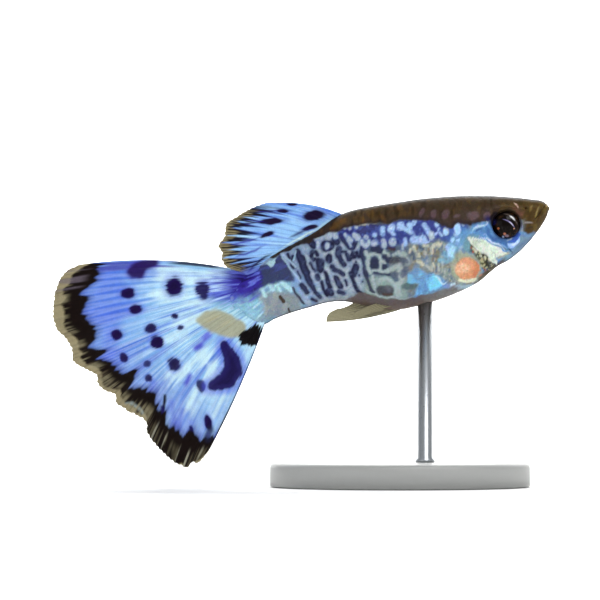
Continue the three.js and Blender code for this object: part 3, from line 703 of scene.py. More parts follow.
# %% Icy lower part of the tail root
icy = [
    (-16.4, 20.6), (-13.4, 20.7), (-10.9, 20.7), (-10.1, 19.2), (-9.4, 17.9), (-12.0, 16.9),
    (-14.0, 15.4), (-17.0, 17.0),
]
patch(icy, "7ca4bc", 0.3, 0.95)
root_turn = np.degrees(np.arctan2(PZ - 23.5, PX + 8.0))
root_streaks = cloud(np.stack([root_turn / 2.4, 0 * PX, np.hypot(PX + 8, PZ - 23.5) / 1.6], -1), 1.0, 17)
in_icy = smooth(-0.2, 0.5, inside(WX, WZ, icy))
paint(in_icy * smooth(0.0, 0.5, root_streaks), "a8d6e4", 0.65)
paint(in_icy * smooth(0.1, 0.6, -root_streaks), "6f93bd", 0.5)
patch([
    (-13.9, 19.3), (-11.6, 19.6), (-9.9, 19.0), (-9.9, 17.6), (-12.2, 16.9), (-14.2, 17.2),
], "858b94", 0.35, 0.85)
in_grey = smooth(-0.3, 0.4, inside(WX, WZ, [
    (-14.6, 19.4), (-10.2, 19.4), (-9.9, 17.6), (-12.2, 16.9), (-15.2, 16.2),
]))
paint(in_grey * smooth(0.2, 0.9, PLOT), "a2aba5", 0.5)
paint(in_grey * smooth(-0.3, -0.9, PLOT), "7f8a86", 0.5)
dabs("b4dde4", 0.8, [
    (4, -130, 203, -127, 197), (4, -124, 203, -120, 197), (4.5, -117, 204, -109, 197),
    (3.4, -137, 197, -135, 191), (2.6, -141, 201, -138, 197),
], 0.12)
print("icy streaks laid")

# %% Navy upper part of the tail root
NAVY_ROOT = [
    (-14.9, 22.0), (-13.5, 22.3), (-12.7, 22.2), (-12.4, 22.9), (-12.0, 23.3), (-11.5, 22.5),
    (-10.9, 21.8), (-10.5, 21.0), (-10.6, 20.6), (-11.4, 20.6), (-12.0, 20.6), (-12.6, 20.4),
    (-13.3, 20.15), (-14.1, 19.7), (-15.0, 19.2), (-16.6, 20.2),
]
patch(NAVY_ROOT, "30355a", 0.18, 0.95)
in_navy = smooth(-0.1, 0.2, inside(WX, WZ, NAVY_ROOT))
paint(in_navy * smooth(0.1, 0.7, root_streaks), "4a55a0", 0.55)
patch([
    (-13.4, 22.3), (-12.7, 22.75), (-12.3, 22.95), (-12.55, 22.3), (-12.95, 22.0),
], "a9cdd6", 0.06, 0.95)
dabs("9fbdd6", 0.85, [
    (1.5, -120, 234, -113, 223, -108, 217, -99, 206), (1.9, -117, 232, -109, 226, -105, 220),
    (1.4, -104, 236, -106, 226),
])
dabs("2a2238", 0.9, [(2.6, -107, 199, -105, 193, -101, 189, -96, 183)])
dabs("38281a", 0.95, [(3.8, -120, 190, -117, 186), (2, -112, 179, -109, 174)])
print("tail root painted")

# %% [markdown]
# ## A colour that skin and fin share
# The violet patch begins on the skin and runs out over the fin rays. Painted twice by hand it would
# meet in a hard line, so one function paints both, with streaks that each surface gives it.

# %% Violet where skin and tail fan meet
def violet_root(feather):
    """The feathery violet patch and the icy streaks below it, on the skin and on the fan alike."""
    icy_zone = smooth(-0.3, 0.3, oval(WX, WZ, (-16.2, 18.3), 6.4, 2.6, -12) + 0.25 * feather)
    paint(icy_zone, "8fc2d8", 0.85)
    paint(icy_zone * smooth(0.1, 0.5, feather), "cdeef4", 0.6)
    paint(icy_zone * smooth(0.2, 0.6, -feather), "6f9cc4", 0.7)
    beside = smooth(-0.35, 0.35, oval(WX, WZ, (-17.3, 19.9), 4.8, 3.0, 8) + 0.4 * feather)
    paint(beside, "5560cc", 0.9)
    paint(beside * smooth(0.05, 0.45, feather), "bcdcf8", 0.75)
    paint(beside * smooth(0.15, 0.55, -feather), "33289a", 0.8)
    core = smooth(-0.3, 0.45, oval(WX, WZ, (-15.4, 20.4), 4.0, 3.6, 25) + 0.4 * feather)
    paint(core, "352796", 0.95)
    paint(core * smooth(0.2, 0.6, feather), "6a78da", 0.75)
    paint(core * smooth(0.1, 0.6, -feather), "1d1150", 0.85)


# The same streaks once more, finer
turn_fine = np.stack([root_turn / 1.3, 0 * PX, np.hypot(PX + 8, PZ - 23.5) / 0.9], -1)
violet_root(cloud(turn_fine, 1.0, 70) * smooth(-12.0, -14.0, PX) - smooth(-14.2, -12.6, PX) * 3)
print("violet root painted")

# %% [markdown]
# ## Belly and back
# From above most fish are dark and from below pale, which hides them both ways. This back is
# brown-olive, with painted shade in its scale pockets, the belly a smooth mauve-brown. Both meet
# the flank along a line with bays and steps, so the line is typed as points, and the wavering hand
# roughens it.

# %% Belly
BELLY_EDGE = [
    (-6.4, 18.0), (-5.6, 18.6), (-5.0, 19.15), (-4.2, 19.45), (-3.5, 19.5), (-2.9, 19.2),
    (-2.0, 18.97), (-0.6, 18.82), (0.6, 18.85), (1.4, 19.05), (2.8, 19.45), (3.7, 19.8),
    (5.0, 20.0), (7.5, 20.3),
]
belly_x, belly_z = np.array(BELLY_EDGE).T
belly_line = np.interp(WX, belly_x, belly_z)
belly = smooth(0.14, -0.14, WZ - belly_line) * smooth(-6.6, -4.6, PX) * smooth(8.0, 6.8, PX)
paint(belly, "5f5457", 0.95)
paint(belly * smooth(1.0, 4.5, PX), "808a8e", 0.7)
paint(belly * smooth(-0.2, 0.8, grain), "57493f", 0.5)
paint(belly * smooth(0.6, 1.3, belly_line - WZ), "55463c", 0.7)
stroke([
    (-3.9, 20.4), (-3.45, 19.8), (-2.8, 19.42), (-2.0, 19.17), (-0.6, 18.97), (0.2, 18.92),
    (1.3, 19.12),
], "a7b2ba", 0.08, 0.9)
dabs("3f404c", 0.92, [(9.6, -19, 197, -11, 197)], 0.14)
dabs("60676f", 0.7, [(4, -14, 200, -11, 198)], 0.14)
dabs("4a3830", 0.8, [(3.4, -17, 193, -9, 193)], 0.12)
print("belly painted over", round(100 * belly.mean()), "% of the skin")

# %% The sky-blue patch behind the gill
SKY_PATCH = [
    (0.8, 21.2), (1.4, 21.9), (2.0, 21.8), (2.5, 21.4), (3.2, 21.3), (4.5, 20.6), (4.8, 20.0),
    (3.6, 19.6), (2.6, 19.25), (1.3, 19.1), (1.6, 19.8), (1.75, 20.3), (0.6, 20.3),
]
patch(SKY_PATCH, "6898ca", 0.18, 0.95)
in_sky = smooth(-0.1, 0.2, inside(WX, WZ, SKY_PATCH))
paint(in_sky * smooth(0.0, 0.5, cloud(POINTS, (0.28, 0.4, 0.6), 66)), "76bce6", 0.8)
paint(in_sky * smooth(0.1, 0.5, cloud(POINTS, (0.3, 0.4, 0.5), 67)), "5a82b8", 0.6)
patch([
    (3.2, 21.27), (4.24, 20.41), (3.8, 19.9), (2.97, 19.55), (2.74, 20.2), (3.1, 20.64),
], "7ccfee", 0.09, 0.95)
patch([(0.8, 21.15), (1.15, 21.2), (1.7, 20.35), (0.7, 20.35)], "70b4dc", 0.09, 0.9)
patch([
    (0.1, 20.2), (0.5, 20.4), (1.75, 20.25), (1.3, 19.75), (0.7, 19.65), (0.2, 19.9),
], "55696c", 0.09, 0.95)
stroke([(3.3, 21.1), (3.8, 20.7), (4.2, 20.4), (4.5, 20.5), (4.75, 20.6)], "d0e4ec", 0.08)
stroke([(4.1, 20.15), (4.7, 20.1), (5.3, 20.2)], "7b94d4", 0.2, 0.8)
dabs("c0dcee", 0.85, [(2.4, 51, 202, 54, 203)], 0.08)
print("sky-blue patch painted")

# %% Brown back
back = smooth(0.12, -0.12, below_edge)
lower_snout = smooth(11.9, 12.6, WX) * smooth(24.9, 25.6, WZ)
back = np.maximum(back, lower_snout)
paint(back, "3d2c17", 0.97)
paint(back * smooth(0.0, 0.8, cloud(POINTS, (0.32, 0.8, 1.1), 18)) * smooth(3, -4, PX), "7a5420", 0.6)
paint(back * smooth(0.1, 0.8, PLOT), "5c4622", 0.4)
paint(back * smooth(0.1, 0.7, cloud(POINTS, (0.3, 0.9, 1.3), 19)), "231809", 0.65)
paint(back * smooth(8, 13.5, PX), "4f3d19", 0.6)
near_edge = smooth(1.7, 0.2, -below_edge) * back * smooth(0, 2.5, PX) * smooth(10.2, 9.0, PX)
paint(near_edge, "3f322f", 0.7)
# centre x, centre z, width, height, turn in degrees
BACK_BLOTCHES = [
    (7.2, 27.15, 1.6, 1.0, 5), (4.5, 27.3, 0.85, 1.3, -20), (3.3, 27.25, 0.8, 1.2, -25),
    (5.7, 27.0, 1.0, 0.6, 0), (2.1, 27.35, 0.7, 1.1, -20), (8.6, 27.2, 0.9, 0.7, 0),
]
for x, z, w, h, turn in BACK_BLOTCHES:
    paint(smooth(0, 0.45, oval(WX, WZ, (x, z), w, h, turn)), "5e4b50", 0.8)
dark_seam = bump(below_edge + 0.12, 0.2) * smooth(-12, -9, PX) * smooth(8.6, 7.5, PX)
paint(dark_seam, "1f1a26", 0.6)
# Painted shade in the pockets between the back's scales
paint(PSCALED * smooth(0.35, 0.05, PTILES) * back, "1a1108", 0.55)
paint(back * smooth(-5.6, -8.4, PX), "2c211c", 0.6)
paint(back * smooth(-7.6, -9.4, PX), "2a2524", 0.6)
print("back painted, with", len(BACK_BLOTCHES), "mauve blotches")

# %% [markdown]
# ## Markings of the head
# Under the eye the cheek is electric blue, with a pearly cream plate on the gill cover that
# mirrors light, a dark speckled slit behind it, and a salmon spot where the gills glow through.
# Noise can't place marks that make a face, so each is an outline, a stroke or a dab of its own,
# from large to small, as a face is painted. Noise only roughens the larger ones.

# %% Blue ground of the cheek
cheek = [
    (7.2, 26.3), (9.0, 26.6), (12.2, 25.45), (13.4, 25.2), (12.9, 24.0), (11.4, 22.7), (9.9, 22.0),
    (8.4, 21.4), (7.2, 22.6), (6.3, 24.5),
]
patch(cheek, "5b8cc4", 0.2, 0.95)
in_cheek = smooth(-0.2, 0.3, inside(WX, WZ, cheek))
paint(in_cheek * smooth(0.1, 0.7, cloud(POINTS, (1.2, 1.0, 0.35), 20)), "2d4f86", 0.65)
patch([
    (12.0, 25.2), (13.4, 25.2), (13.3, 24.8), (12.2, 23.5), (11.2, 22.6), (11.2, 23.4),
], "6f8496", 0.3, 0.8)
patch([
    (8.3, 26.2), (9.0, 25.3), (10.3, 24.6), (11.4, 24.4), (11.2, 23.9), (9.8, 24.2), (8.5, 25.2),
], "3b5f96", 0.15, 0.75)
patch([
    (10.6, 24.45), (10.9, 24.75), (11.3, 25.15), (11.8, 25.35), (12.05, 25.1), (11.8, 24.85),
    (11.3, 24.5),
], "3b5cb6", 0.07, 0.95)
# The pale blue-white patch under the eye is a painted reflection on the blue cheek
patch([
    (10.6, 24.35), (11.3, 24.45), (11.8, 24.85), (12.0, 24.8), (11.85, 24.4), (11.5, 24.05),
    (11.2, 23.75), (10.95, 23.8),
], "9dbff0", 0.07, 0.95)
patch([(11.0, 24.3), (11.5, 24.5), (11.85, 24.7), (11.6, 24.3), (11.2, 24.0)], "cfe2fa", 0.08, 0.85)
patch([(10.2, 23.2), (11.5, 23.8), (12.2, 23.6), (10.9, 22.7), (10.2, 22.6)], "7fa8bb", 0.15, 0.8)
print("cheek ground laid")

# %% Lines on the cheek, and the chin
stroke([(10.1, 24.0), (10.9, 23.7), (11.5, 23.2)], "22314a", 0.07)
dabs("1f2358", 0.8, [(6, 87, 268, 93, 264)], 0.25)
stroke([
    (7.0, 25.4), (7.25, 25.8), (7.6, 26.08), (8.0, 26.15), (8.35, 26.05), (8.6, 26.3), (8.55, 26.6),
    (8.3, 26.6),
], "c2dcee", 0.09, 0.95)
stroke([(7.4, 25.5), (7.7, 25.85), (8.1, 25.9)], "2c4270", 0.09, 0.8)
stroke([
    (8.2, 25.25), (8.5, 25.35), (8.6, 25.0), (9.2, 24.5), (9.8, 24.25), (10.4, 24.05), (10.8, 23.7),
], "9cc0e6", 0.07, 0.9)
dabs("54767e", 0.7, [(5, 64, 250, 69, 243, 70, 237)], 0.15)
stroke([(11.7, 27.15), (11.95, 26.75), (12.07, 26.1), (12.05, 25.5)], "8388a8", 0.08, 0.85)
stroke([(10.5, 24.5), (11.05, 24.98), (11.5, 25.4), (11.8, 25.75)], "c8d8ea", 0.05, 0.95)
CHIN_EDGE = [(8.0, 20.9), (9.4, 21.95), (10.7, 22.8), (12.2, 24.0), (13.4, 25.2)]
under_edge = smooth(0.42, 0.12, from_line(HX, HZ, CHIN_EDGE)[0])
paint(under_edge * smooth(10.9, 10.2, PX), "4a3a20", 0.85)
paint(under_edge * smooth(10.5, 11.2, PX), "5c7290", 0.7)
dabs("a9a588", 0.8, [(2.6, 98, 229, 108, 234)], 0.12)
print("cheek painted")

# %% Sky-blue marks and the salmon spot
patch([(4.6, 24.2), (5.4, 25.4), (6.4, 25.9), (7.3, 25.9), (6.7, 24.4), (5.6, 23.5)], "6fa6d4", 0.3, 0.7)
patch([
    (6.3, 24.8), (6.7, 25.3), (7.8, 25.3), (7.9, 24.8), (7.1, 24.0), (6.7, 23.4), (6.3, 23.9),
], "6d94a0", 0.15, 0.9)
for x, z, size in [(5.65, 25.75, 0.85), (4.45, 25.4, 0.62), (5.15, 24.8, 0.45), (5.7, 24.7, 0.4)]:
    paint(smooth(0, 0.4, oval(WX, WZ, (x, z), size, size * 1.2)), "a9d4fb", 0.9)
patch([(4.7, 23.2), (5.2, 24.2), (5.6, 24.0), (5.3, 22.9)], "a8dcf0", 0.15, 0.85)
salmon_ring = rounded([
    (5.0, 22.4), (5.6, 23.2), (6.8, 23.5), (7.9, 22.9), (8.2, 21.8), (7.4, 20.8), (6.0, 20.5),
    (5.1, 21.2),
])
patch(salmon_ring, "98a08a", 0.2, 0.9)
salmon = rounded([
    (5.4, 22.0), (5.7, 22.65), (6.6, 23.05), (7.35, 22.75), (7.85, 22.15), (7.8, 21.5), (7.2, 20.9),
    (6.3, 20.8), (5.6, 21.3),
])
patch(salmon, "d79874", 0.1, 0.97)
# The paler middle of the salmon spot is a painted highlight
paint(smooth(0, 0.6, oval(WX, WZ, (6.05, 21.95), 1.9, 1.5)), "ecc0a0", 0.9)
in_salmon = smooth(-0.1, 0.1, inside(WX, WZ, salmon))
paint(in_salmon * smooth(6.9, 7.7, WX + 0.5 * waver[:, 1]), "b9704e", 0.7)
paint(in_salmon * smooth(0.15, 0.6, cloud(POINTS, (0.3, 0.3, 0.3), 22)), "c87a58", 0.45)
print("salmon spot painted")

# %% The speckled slit
patch([
    (6.9, 24.3), (7.6, 24.4), (9.4, 22.5), (9.4, 21.9), (8.4, 21.6), (7.9, 22.7), (7.0, 23.6),
], "4c4a32", 0.12, 0.9)
dabs("cfd2b6", 0.85, [
    (2, 72, 238, 74, 236), (2.6, 75, 235), (1.6, 79, 236, 81, 234), (2, 79, 232, 81, 231),
    (1.8, 84, 230, 85, 228), (1.2, 77, 231),
], 0.09)
dabs("b9543c", 0.8, [(1.4, 72, 235), (1.2, 77, 237), (1.4, 70, 239)])
dabs("b8643e", 0.8, [(1.8, 80, 217), (1.4, 84, 219, 85, 216), (1.2, 79, 212, 81, 213)], 0.1)
slit_zone = smooth(-0.1, 0.15, inside(WX, WZ, [
    (6.9, 24.4), (7.7, 24.4), (9.5, 22.5), (9.2, 21.7), (8.3, 21.5), (7.8, 22.7),
]))
paint(slit_zone * smooth(0.15, 0.5, cloud(POINTS, (0.24, 0.5, 0.18), 23)), "b9b48c", 0.75)
paint(slit_zone * smooth(0.2, 0.5, cloud(POINTS, (0.2, 0.5, 0.2), 68)), "2c2a1e", 0.8)
print("slit speckled")

# %% The mirror-like gill plate
GILL_PLATE = [
    (6.55, 24.95), (7.3, 25.05), (8.1, 24.8), (9.2, 24.15), (9.9, 23.7), (10.7, 23.3),
    (9.65, 22.95), (9.6, 22.15), (8.9, 22.7), (8.4, 23.3), (7.5, 23.7), (7.0, 24.25),
]
patch(GILL_PLATE, "d6dfd2", 0.06, 0.98)
on_plate = smooth(0, 0.3, inside(WX, WZ, GILL_PLATE))
paint(on_plate * smooth(0.0, 0.7, cloud(POINTS, (0.6, 0.6, 0.25), 25)), "9fb8a2", 0.55)
dabs("6f8a86", 0.6, [
    (0.8, 92, 243, 99, 239, 106, 238), (0.7, 90, 236, 95, 232, 96, 226), (0.8, 70, 249, 78, 246),
])
# A painted highlight: a white line along the plate's upper edge
stroke([(7.7, 25.1), (8.9, 24.6), (9.8, 24.1), (10.6, 23.6)], "ffffff", 0.05, 0.8)
dabs("e9edd0", 0.9, [(3, 60, 207, 66, 206, 73, 208), (2.6, 72, 206, 75, 209)])
patch([(5.5, 20.1), (7.0, 20.3), (7.6, 20.0), (6.6, 19.6)], "a9cfe4", 0.15, 0.8)
stroke([(7.2, 20.35), (8.3, 20.95), (9.3, 21.85), (10.2, 22.2)], "3e2f14", 0.2, 0.95)
print("gill cover painted")

# %% Snout
tip = smooth(12.6, 13.6, WX)
paint(tip * smooth(-0.1, 0.6, cloud(POINTS, (0.5, 0.6, 0.9), 26)), "65532a", 0.6)
stroke([(13.9, 28.1), (13.5, 26.9)], "9a8650", 0.1, 0.7)
stroke([(13.2, 28.3), (12.9, 27.4)], "8a7440", 0.12, 0.6)
patch([(11.2, 27.9), (12.3, 27.5), (12.1, 26.8), (11.6, 27.1)], "6f4a42", 0.25, 0.75)
# A painted highlight: a pale pink glint by the hind nostril
stroke([(11.3, 28.5), (11.6, 28.1), (11.7, 27.8)], "e2bfae", 0.08)
stroke([(12.2, 26.35), (12.8, 26.4), (13.2, 26.3)], "9a9290", 0.07, 0.8)
stroke([(12.4, 25.95), (13.3, 25.9)], "2c2a24", 0.1, 0.8)
paint(smooth(0, 0.5, oval(WX, WZ, (14.6, 28.15), 0.5, 0.5)), "a08a52", 0.7)
stroke(MOUTH, "2e220f", 0.07, 0.75)
print("snout painted")

# %% Round the eye
from_socket = np.hypot(PX - EYE_CENTRE[0], PZ - EYE_CENTRE[1])
around_eye = bump(from_socket - EYE_RADIUS - 0.02, 0.16) * PSIDE
paint(around_eye * smooth(25.4, 26.4, PZ), "1c140d", 0.9)
paint(around_eye * smooth(26.2, 25.2, PZ), "263a66", 0.6)
# The skin in the socket, in the gap round the eyeball, is painted near-black as shade
socket_shade = smooth(EYE_RADIUS + 0.02, EYE_RADIUS - 0.15, from_socket) * smooth(0.3, 0.5, PSIDE)
paint(socket_shade, "0c0806")
patch([
    (8.9, 26.9), (9.2, 27.4), (9.7, 27.6), (9.7, 25.4), (9.25, 25.45), (9.0, 26.0),
], "120d14", 0.14, 0.9)
print("head painted")

# %% [markdown]
# ## What lies over all the markings
# Scales hide part of each other, so painted shade darkens the pockets between them and painted
# highlights pale their free edges. The mask for that is the height of the tiles themselves, so
# paint and relief agree. Along the crest of the back and the keel of the belly the fish is painted
# darkest, as shade where the skin turns away from us, so the distance to those lines is measured
# downwards or upwards from them.

# %% Painted shade in the scale pockets, painted highlights on their edges, and pores all over
paint(PSCALED * smooth(0.30, 0.05, PTILES) * (1 - back) * (1 - belly), "2c3a5a", 0.35)
paint(PSCALED * smooth(0.85, 1.0, PTILES) * (1 - back), "dceaf6", 0.22)
coat *= (1 + 0.10 * grain)[:, None]
for channel, seed in enumerate((61, 62, 63)):
    coat[:, channel] *= 1 + 0.11 * cloud(POINTS, 0.17, seed)
paint(np.clip(-normals[..., 2].reshape(-1) - 0.55, 0, 1) * 2 * (PX < 8.5) * (1 - in_icy), "6a5a4c", 0.6)
coat = np.clip(coat, 0.002, 1)
print("pockets and pores laid")

# %% Painted shade along the ridges of back and belly
# Painted shade: darker where the skin turns away, along the top and bottom of the body, the crest and the
# keel
ridge = smooth(0.2, 0.05, PSIDE)
paint(smooth(0.55, 0.1, PSIDE) * back, "1f160b", 0.6)
paint(ridge * (1 - in_icy * 0.5), "1d150e", 0.8)
# interp wants x to rise, and the skin's rows run from the snout backwards
belly_column = skin[:, 3 * AROUND // 4]
over_keel = PZ - np.interp(PX, belly_column[::-1, 0], belly_column[::-1, 2])
paint(smooth(0.19, 0.07, over_keel) * smooth(-4.6, -5.6, PX) * smooth(-16.2, -15.0, PX), "28242a", 0.8)
paint(smooth(0.26, 0.08, over_keel) * smooth(7.0, 8.0, PX) * smooth(13.6, 13.0, PX), "3c342c", 0.75)
back_column = skin[:, AROUND // 4]
under_crest = np.interp(PX, back_column[::-1, 0], back_column[::-1, 2]) - PZ
paint(smooth(0.3, 0.1, under_crest) * smooth(-9.0, -7.0, PX) * smooth(14.6, 14.0, PX), "150e07", 0.9)
print("mean coat colour", coat.mean(0).round(2))

# %% [markdown]
# ## Mirrors in the skin
# A guppy's blues come from tiny crystals that mirror light, most of all on the gill plate. Real
# crystals are far too small to build. A second layer on the points, from 0 to 1, says how metallic
# the skin is, and the material reads it beside the paint.

# %% How metallic the skin is
METAL_SHARE = 0.45
shine = METAL_SHARE * np.clip(0.25 + 0.5 * on_plate + 0.2 * blue_row - 0.15 * back, 0, 1)
print("metallic from", shine.min().round(2), "to", shine.max().round(2))

# %% [markdown]
# ## Making materials with nodes
# A material is a small network: the stored paint, a fine grain over it, uneven gloss and a bump
# from noise. Wet skin has two gloss layers, the skin's own and a thin clear coat of slime. Both are
# faint here, because a bright gloss lays a grey haze over dark paint and the photo has none.
# Values that are even all over are typed into the shader.

# %% Nodes and empty materials
def node(tree, kind, **settings):
    """A shader node, with its inputs set by name."""
    made = tree.nodes.new("ShaderNode" + kind)
    for key, value in settings.items():
        key = key.replace("_", " ")
        if key in made.inputs:
            made.inputs[key].default_value = value
        else:
            setattr(made, key.replace(" ", "_"), value)
    return made


def new_material(name, **shader_values):
    """An empty material with a Principled shader set to the given even values."""
    material = bpy.data.materials.new(name)
    material.use_nodes = True
    shader = material.node_tree.nodes["Principled BSDF"]
    for key, value in shader_values.items():
        shader.inputs[key.replace("_", " ")].default_value = value
    return material, material.node_tree, shader


print("node helpers ready")

# %% A material that reads the paint
def painted_material(name, grain_size, grain_amount, bump_size, bump_depth, roughness, **values):
    """The paint layer, broken up by fine noise, with a noise bump and uneven gloss."""
    material, tree, shader = new_material(name, **values)
    link = tree.links.new
    paint_layer = node(tree, "Attribute", attribute_name="paint")
    place = node(tree, "TexCoord")
    speckle = node(tree, "TexNoise", Scale=1 / (grain_size * MM), Detail=3.0, Roughness=0.6)
    link(place.outputs["Object"], speckle.inputs["Vector"])
    shade = node(tree, "MapRange", To_Min=1 - grain_amount, To_Max=1 + grain_amount)
    shade.inputs["From Min"].default_value, shade.inputs["From Max"].default_value = 0.3, 0.7
    link(speckle.outputs["Fac"], shade.inputs["Value"])
    product = node(tree, "VectorMath", operation="SCALE")
    link(paint_layer.outputs["Color"], product.inputs[0])
    link(shade.outputs["Result"], product.inputs["Scale"])
    link(product.outputs["Vector"], shader.inputs["Base Color"])
    gloss = node(tree, "MapRange", To_Min=roughness[0], To_Max=roughness[1])
    link(speckle.outputs["Fac"], gloss.inputs["Value"])
    link(gloss.outputs["Result"], shader.inputs["Roughness"])
    pores = node(tree, "TexNoise", Scale=1 / (bump_size * MM), Detail=2.0)
    link(place.outputs["Object"], pores.inputs["Vector"])
    raised = node(tree, "Bump", Strength=0.6, Distance=bump_depth * MM)
    link(pores.outputs["Fac"], raised.inputs["Height"])
    link(raised.outputs["Normal"], shader.inputs["Normal"])
    return material, tree, shader


print("painted materials can be made")

# %% The skin's material
wet_skin, tree, shader = painted_material(
    "wet scaled skin", 0.14, 0.16, 0.12, 0.02, (0.3, 0.5),
    Coat_Weight=0.03, Coat_Roughness=0.08, Specular_IOR_Level=0.04,
)
metal = node(tree, "Attribute", attribute_name="shine")
tree.links.new(metal.outputs["Fac"], shader.inputs["Metallic"])
print("skin material has", len(tree.nodes), "nodes")

# %% [markdown]
# ## One skin
# On the fish one skin covers head, jaw, gill covers, trunk and tail. Separate meshes could be
# joined with blends, but the markings run over every joint, so one mesh replaces all of them and
# no seam shows. Its UV map is the grid itself, rolled flat from snout to tail and round the body.

# %% The skin piece
skin_faces = grid_faces(ROWS, AROUND, closed=True)
ends = np.array([skin[0].mean(0), skin[-1].mean(0)])
first, last = len(POINTS), len(POINTS) + 1
ring = np.arange(AROUND)
last_ring = ring + len(POINTS) - AROUND
snout_fan = np.stack([np.full(AROUND, first), ring, np.roll(ring, -1)], -1)
root_fan = np.stack([np.full(AROUND, last), np.roll(last_ring, -1), last_ring], -1)
uv_along = np.repeat(np.arange(ROWS) / ROWS, AROUND)
uv_round = np.tile(np.arange(AROUND) / AROUND, ROWS)
skin_uv = np.stack([uv_along, uv_round], -1)
skin_piece = make_piece(
    "skin", np.vstack([POINTS, ends]),
    [face for part in (skin_faces, snout_fan, root_fan) for face in part.tolist()],
    {"paint": np.vstack([coat, coat[:1], coat[-1:]]), "shine": np.concatenate([shine, [0, 0]])},
    wet_skin, np.vstack([skin_uv, [[0, 0.5], [1, 0.5]]]),
)
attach(skin_piece, "root")
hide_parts("head", "lower_jaw", "gill_cover_left", "gill_cover_right", "trunk", "tail")

# %% [markdown]
# ## Fins: a fan of branching rays
# A fin is a membrane held by jointed rays that fork on their way out. Rays could be thin tubes
# laid on a sheet, but tubes look glued on. So each fin is one sheet of points between a root line
# and an edge line, and the rays are ridges in it, on both faces, that split in two twice. The
# sheet waves gently, as a soft fin does in water.

# %% The sheet of a fin
def fin_sheet(root, tips, rows, columns, bow, swing, worn):
    """The middle surface of a fin: (rows, columns, 3) points, with along and across from 0 to 1."""
    across = np.linspace(0, 1, columns)
    along = np.linspace(0, 1, rows)
    S, T = np.meshgrid(along, across, indexing="ij")
    a, b = curve_through(root, across), curve_through(tips, across)
    way = b - a
    length = np.linalg.norm(way, axis=1, keepdims=True)
    up = np.stack([way[:, 1], -way[:, 0]], -1) / length
    reach = S[..., None] * (1 - (worn(across) / length[:, 0])[None, :, None] * S[..., None] ** 6)
    side = a[None] + way[None] * reach + up[None] * (4 * S * (1 - S) * bow(T))[..., None]
    return np.stack([side[..., 0], swing(S, T), side[..., 1]], -1), S, T


print("fin sheets can be made")

# %% Ridges for the rays
def ray_ridges(S, T, rays, forks=((0.25, 0.55, 0.25), (0.6, 0.85, 0.125)), width=0.10):
    """Height of the rays from 0 to 1. Each fork starts and ends at a share of the way out."""
    place = T * rays
    nearest = np.zeros(S.shape)
    for ray in (-1, 0, 1):
        centre = np.floor(place) + ray + 0.5
        arms = [np.zeros(S.shape)]
        for start, end, spread in forks:
            offset = spread * smooth(start, end, S)
            arms = [arm + sign * offset for arm in arms for sign in (-1, 1)]
        for arm in arms:
            nearest = np.maximum(nearest, bump(place - centre - arm, width))
    return nearest


print("a ray's ridge is", ray_ridges(np.array([0.0]), np.array([0.5]), 1)[0], "high on its line")

# %% A fin with two faces
def fin_mesh(name, sheet, half, layers, material):
    """A closed fin with two faces, half thick on each side of the sheet."""
    rows, columns = sheet.shape[:2]
    n = np.cross(np.gradient(sheet, axis=0), np.gradient(sheet, axis=1))
    n /= np.maximum(np.linalg.norm(n, axis=-1, keepdims=True), 1e-9)
    lift = n * half[..., None]
    points = np.vstack([(sheet + lift).reshape(-1, 3), (sheet - lift).reshape(-1, 3)])
    count = rows * columns
    border = np.concatenate([
        np.arange(columns - 1), np.arange(rows - 1) * columns + columns - 1,
        (rows - 1) * columns + np.arange(columns - 1, 0, -1), np.arange(rows - 1, 0, -1) * columns,
    ])
    rim = np.stack([border, np.roll(border, -1), np.roll(border, -1) + count, border + count], -1)
    one_side, other_side = grid_faces(rows, columns), grid_faces(rows, columns, count, flip=True)
    faces = np.vstack([one_side, other_side, rim[:, ::-1]])
    u, v = np.meshgrid(np.linspace(0.01, 0.99, rows), np.linspace(0.01, 0.49, columns), indexing="ij")
    uv = np.vstack([np.stack([u.ravel(), v.ravel()], -1), np.stack([u.ravel(), v.ravel() + 0.5], -1)])
    both = {k: np.concatenate([x.reshape(count, -1).squeeze()] * 2) for k, x in layers.items()}
    return make_piece(name, points, faces, both, material, uv)


print("fin tools ready")

# %% [markdown]
# ## The tail fin
# The fan is the fish's pride: icy blue near its root, cornflower blue further out, violet-black
# spots, and a ragged black margin edged with tan. All of it follows the rays, so the colour is
# worked out from how far out and how far round a point lies as well as from where it is.

# %% The tail fan's form
TAIL_ROOT = [(-14.5, 21.35), (-15.25, 20.2), (-15.3, 18.7), (-14.6, 17.5), (-13.35, 16.75)]
TAIL_TIPS = [
    (-32.3, 22.25), (-33.8, 21.4), (-34.55, 19.7), (-34.75, 17.9), (-34.6, 16.1), (-33.5, 14.75),
    (-32.85, 13.4), (-32.8, 12.6), (-31.6, 11.8), (-30.45, 11.1), (-30.35, 10.3), (-29.5, 9.6),
    (-28.55, 9.2), (-28.5, 8.35), (-27.8, 7.8), (-26.6, 7.1), (-25.45, 6.4), (-25.4, 5.4),
    (-24.7, 4.4), (-23.1, 2.75), (-22.3, 2.25), (-21.35, 1.9), (-20.85, 2.4), (-20.2, 2.4), (-19.2, 3.5),
]
TAIL_RAYS = 19
# One lot for each tooth of an edge, more than any fin has
FRAY_TABLE = np.random.default_rng(8).random(400)


def fray(amount, teeth):
    """How far a fin's edge is worn back between its rays, in mm, uneven from tooth to tooth."""
    def worn(across):
        place = across * teeth
        depth = np.interp(place, np.arange(len(FRAY_TABLE)), FRAY_TABLE)
        return amount * (0.35 * (1 + np.cos(2 * np.pi * place)) / 2 + 0.65 * depth)
    return worn


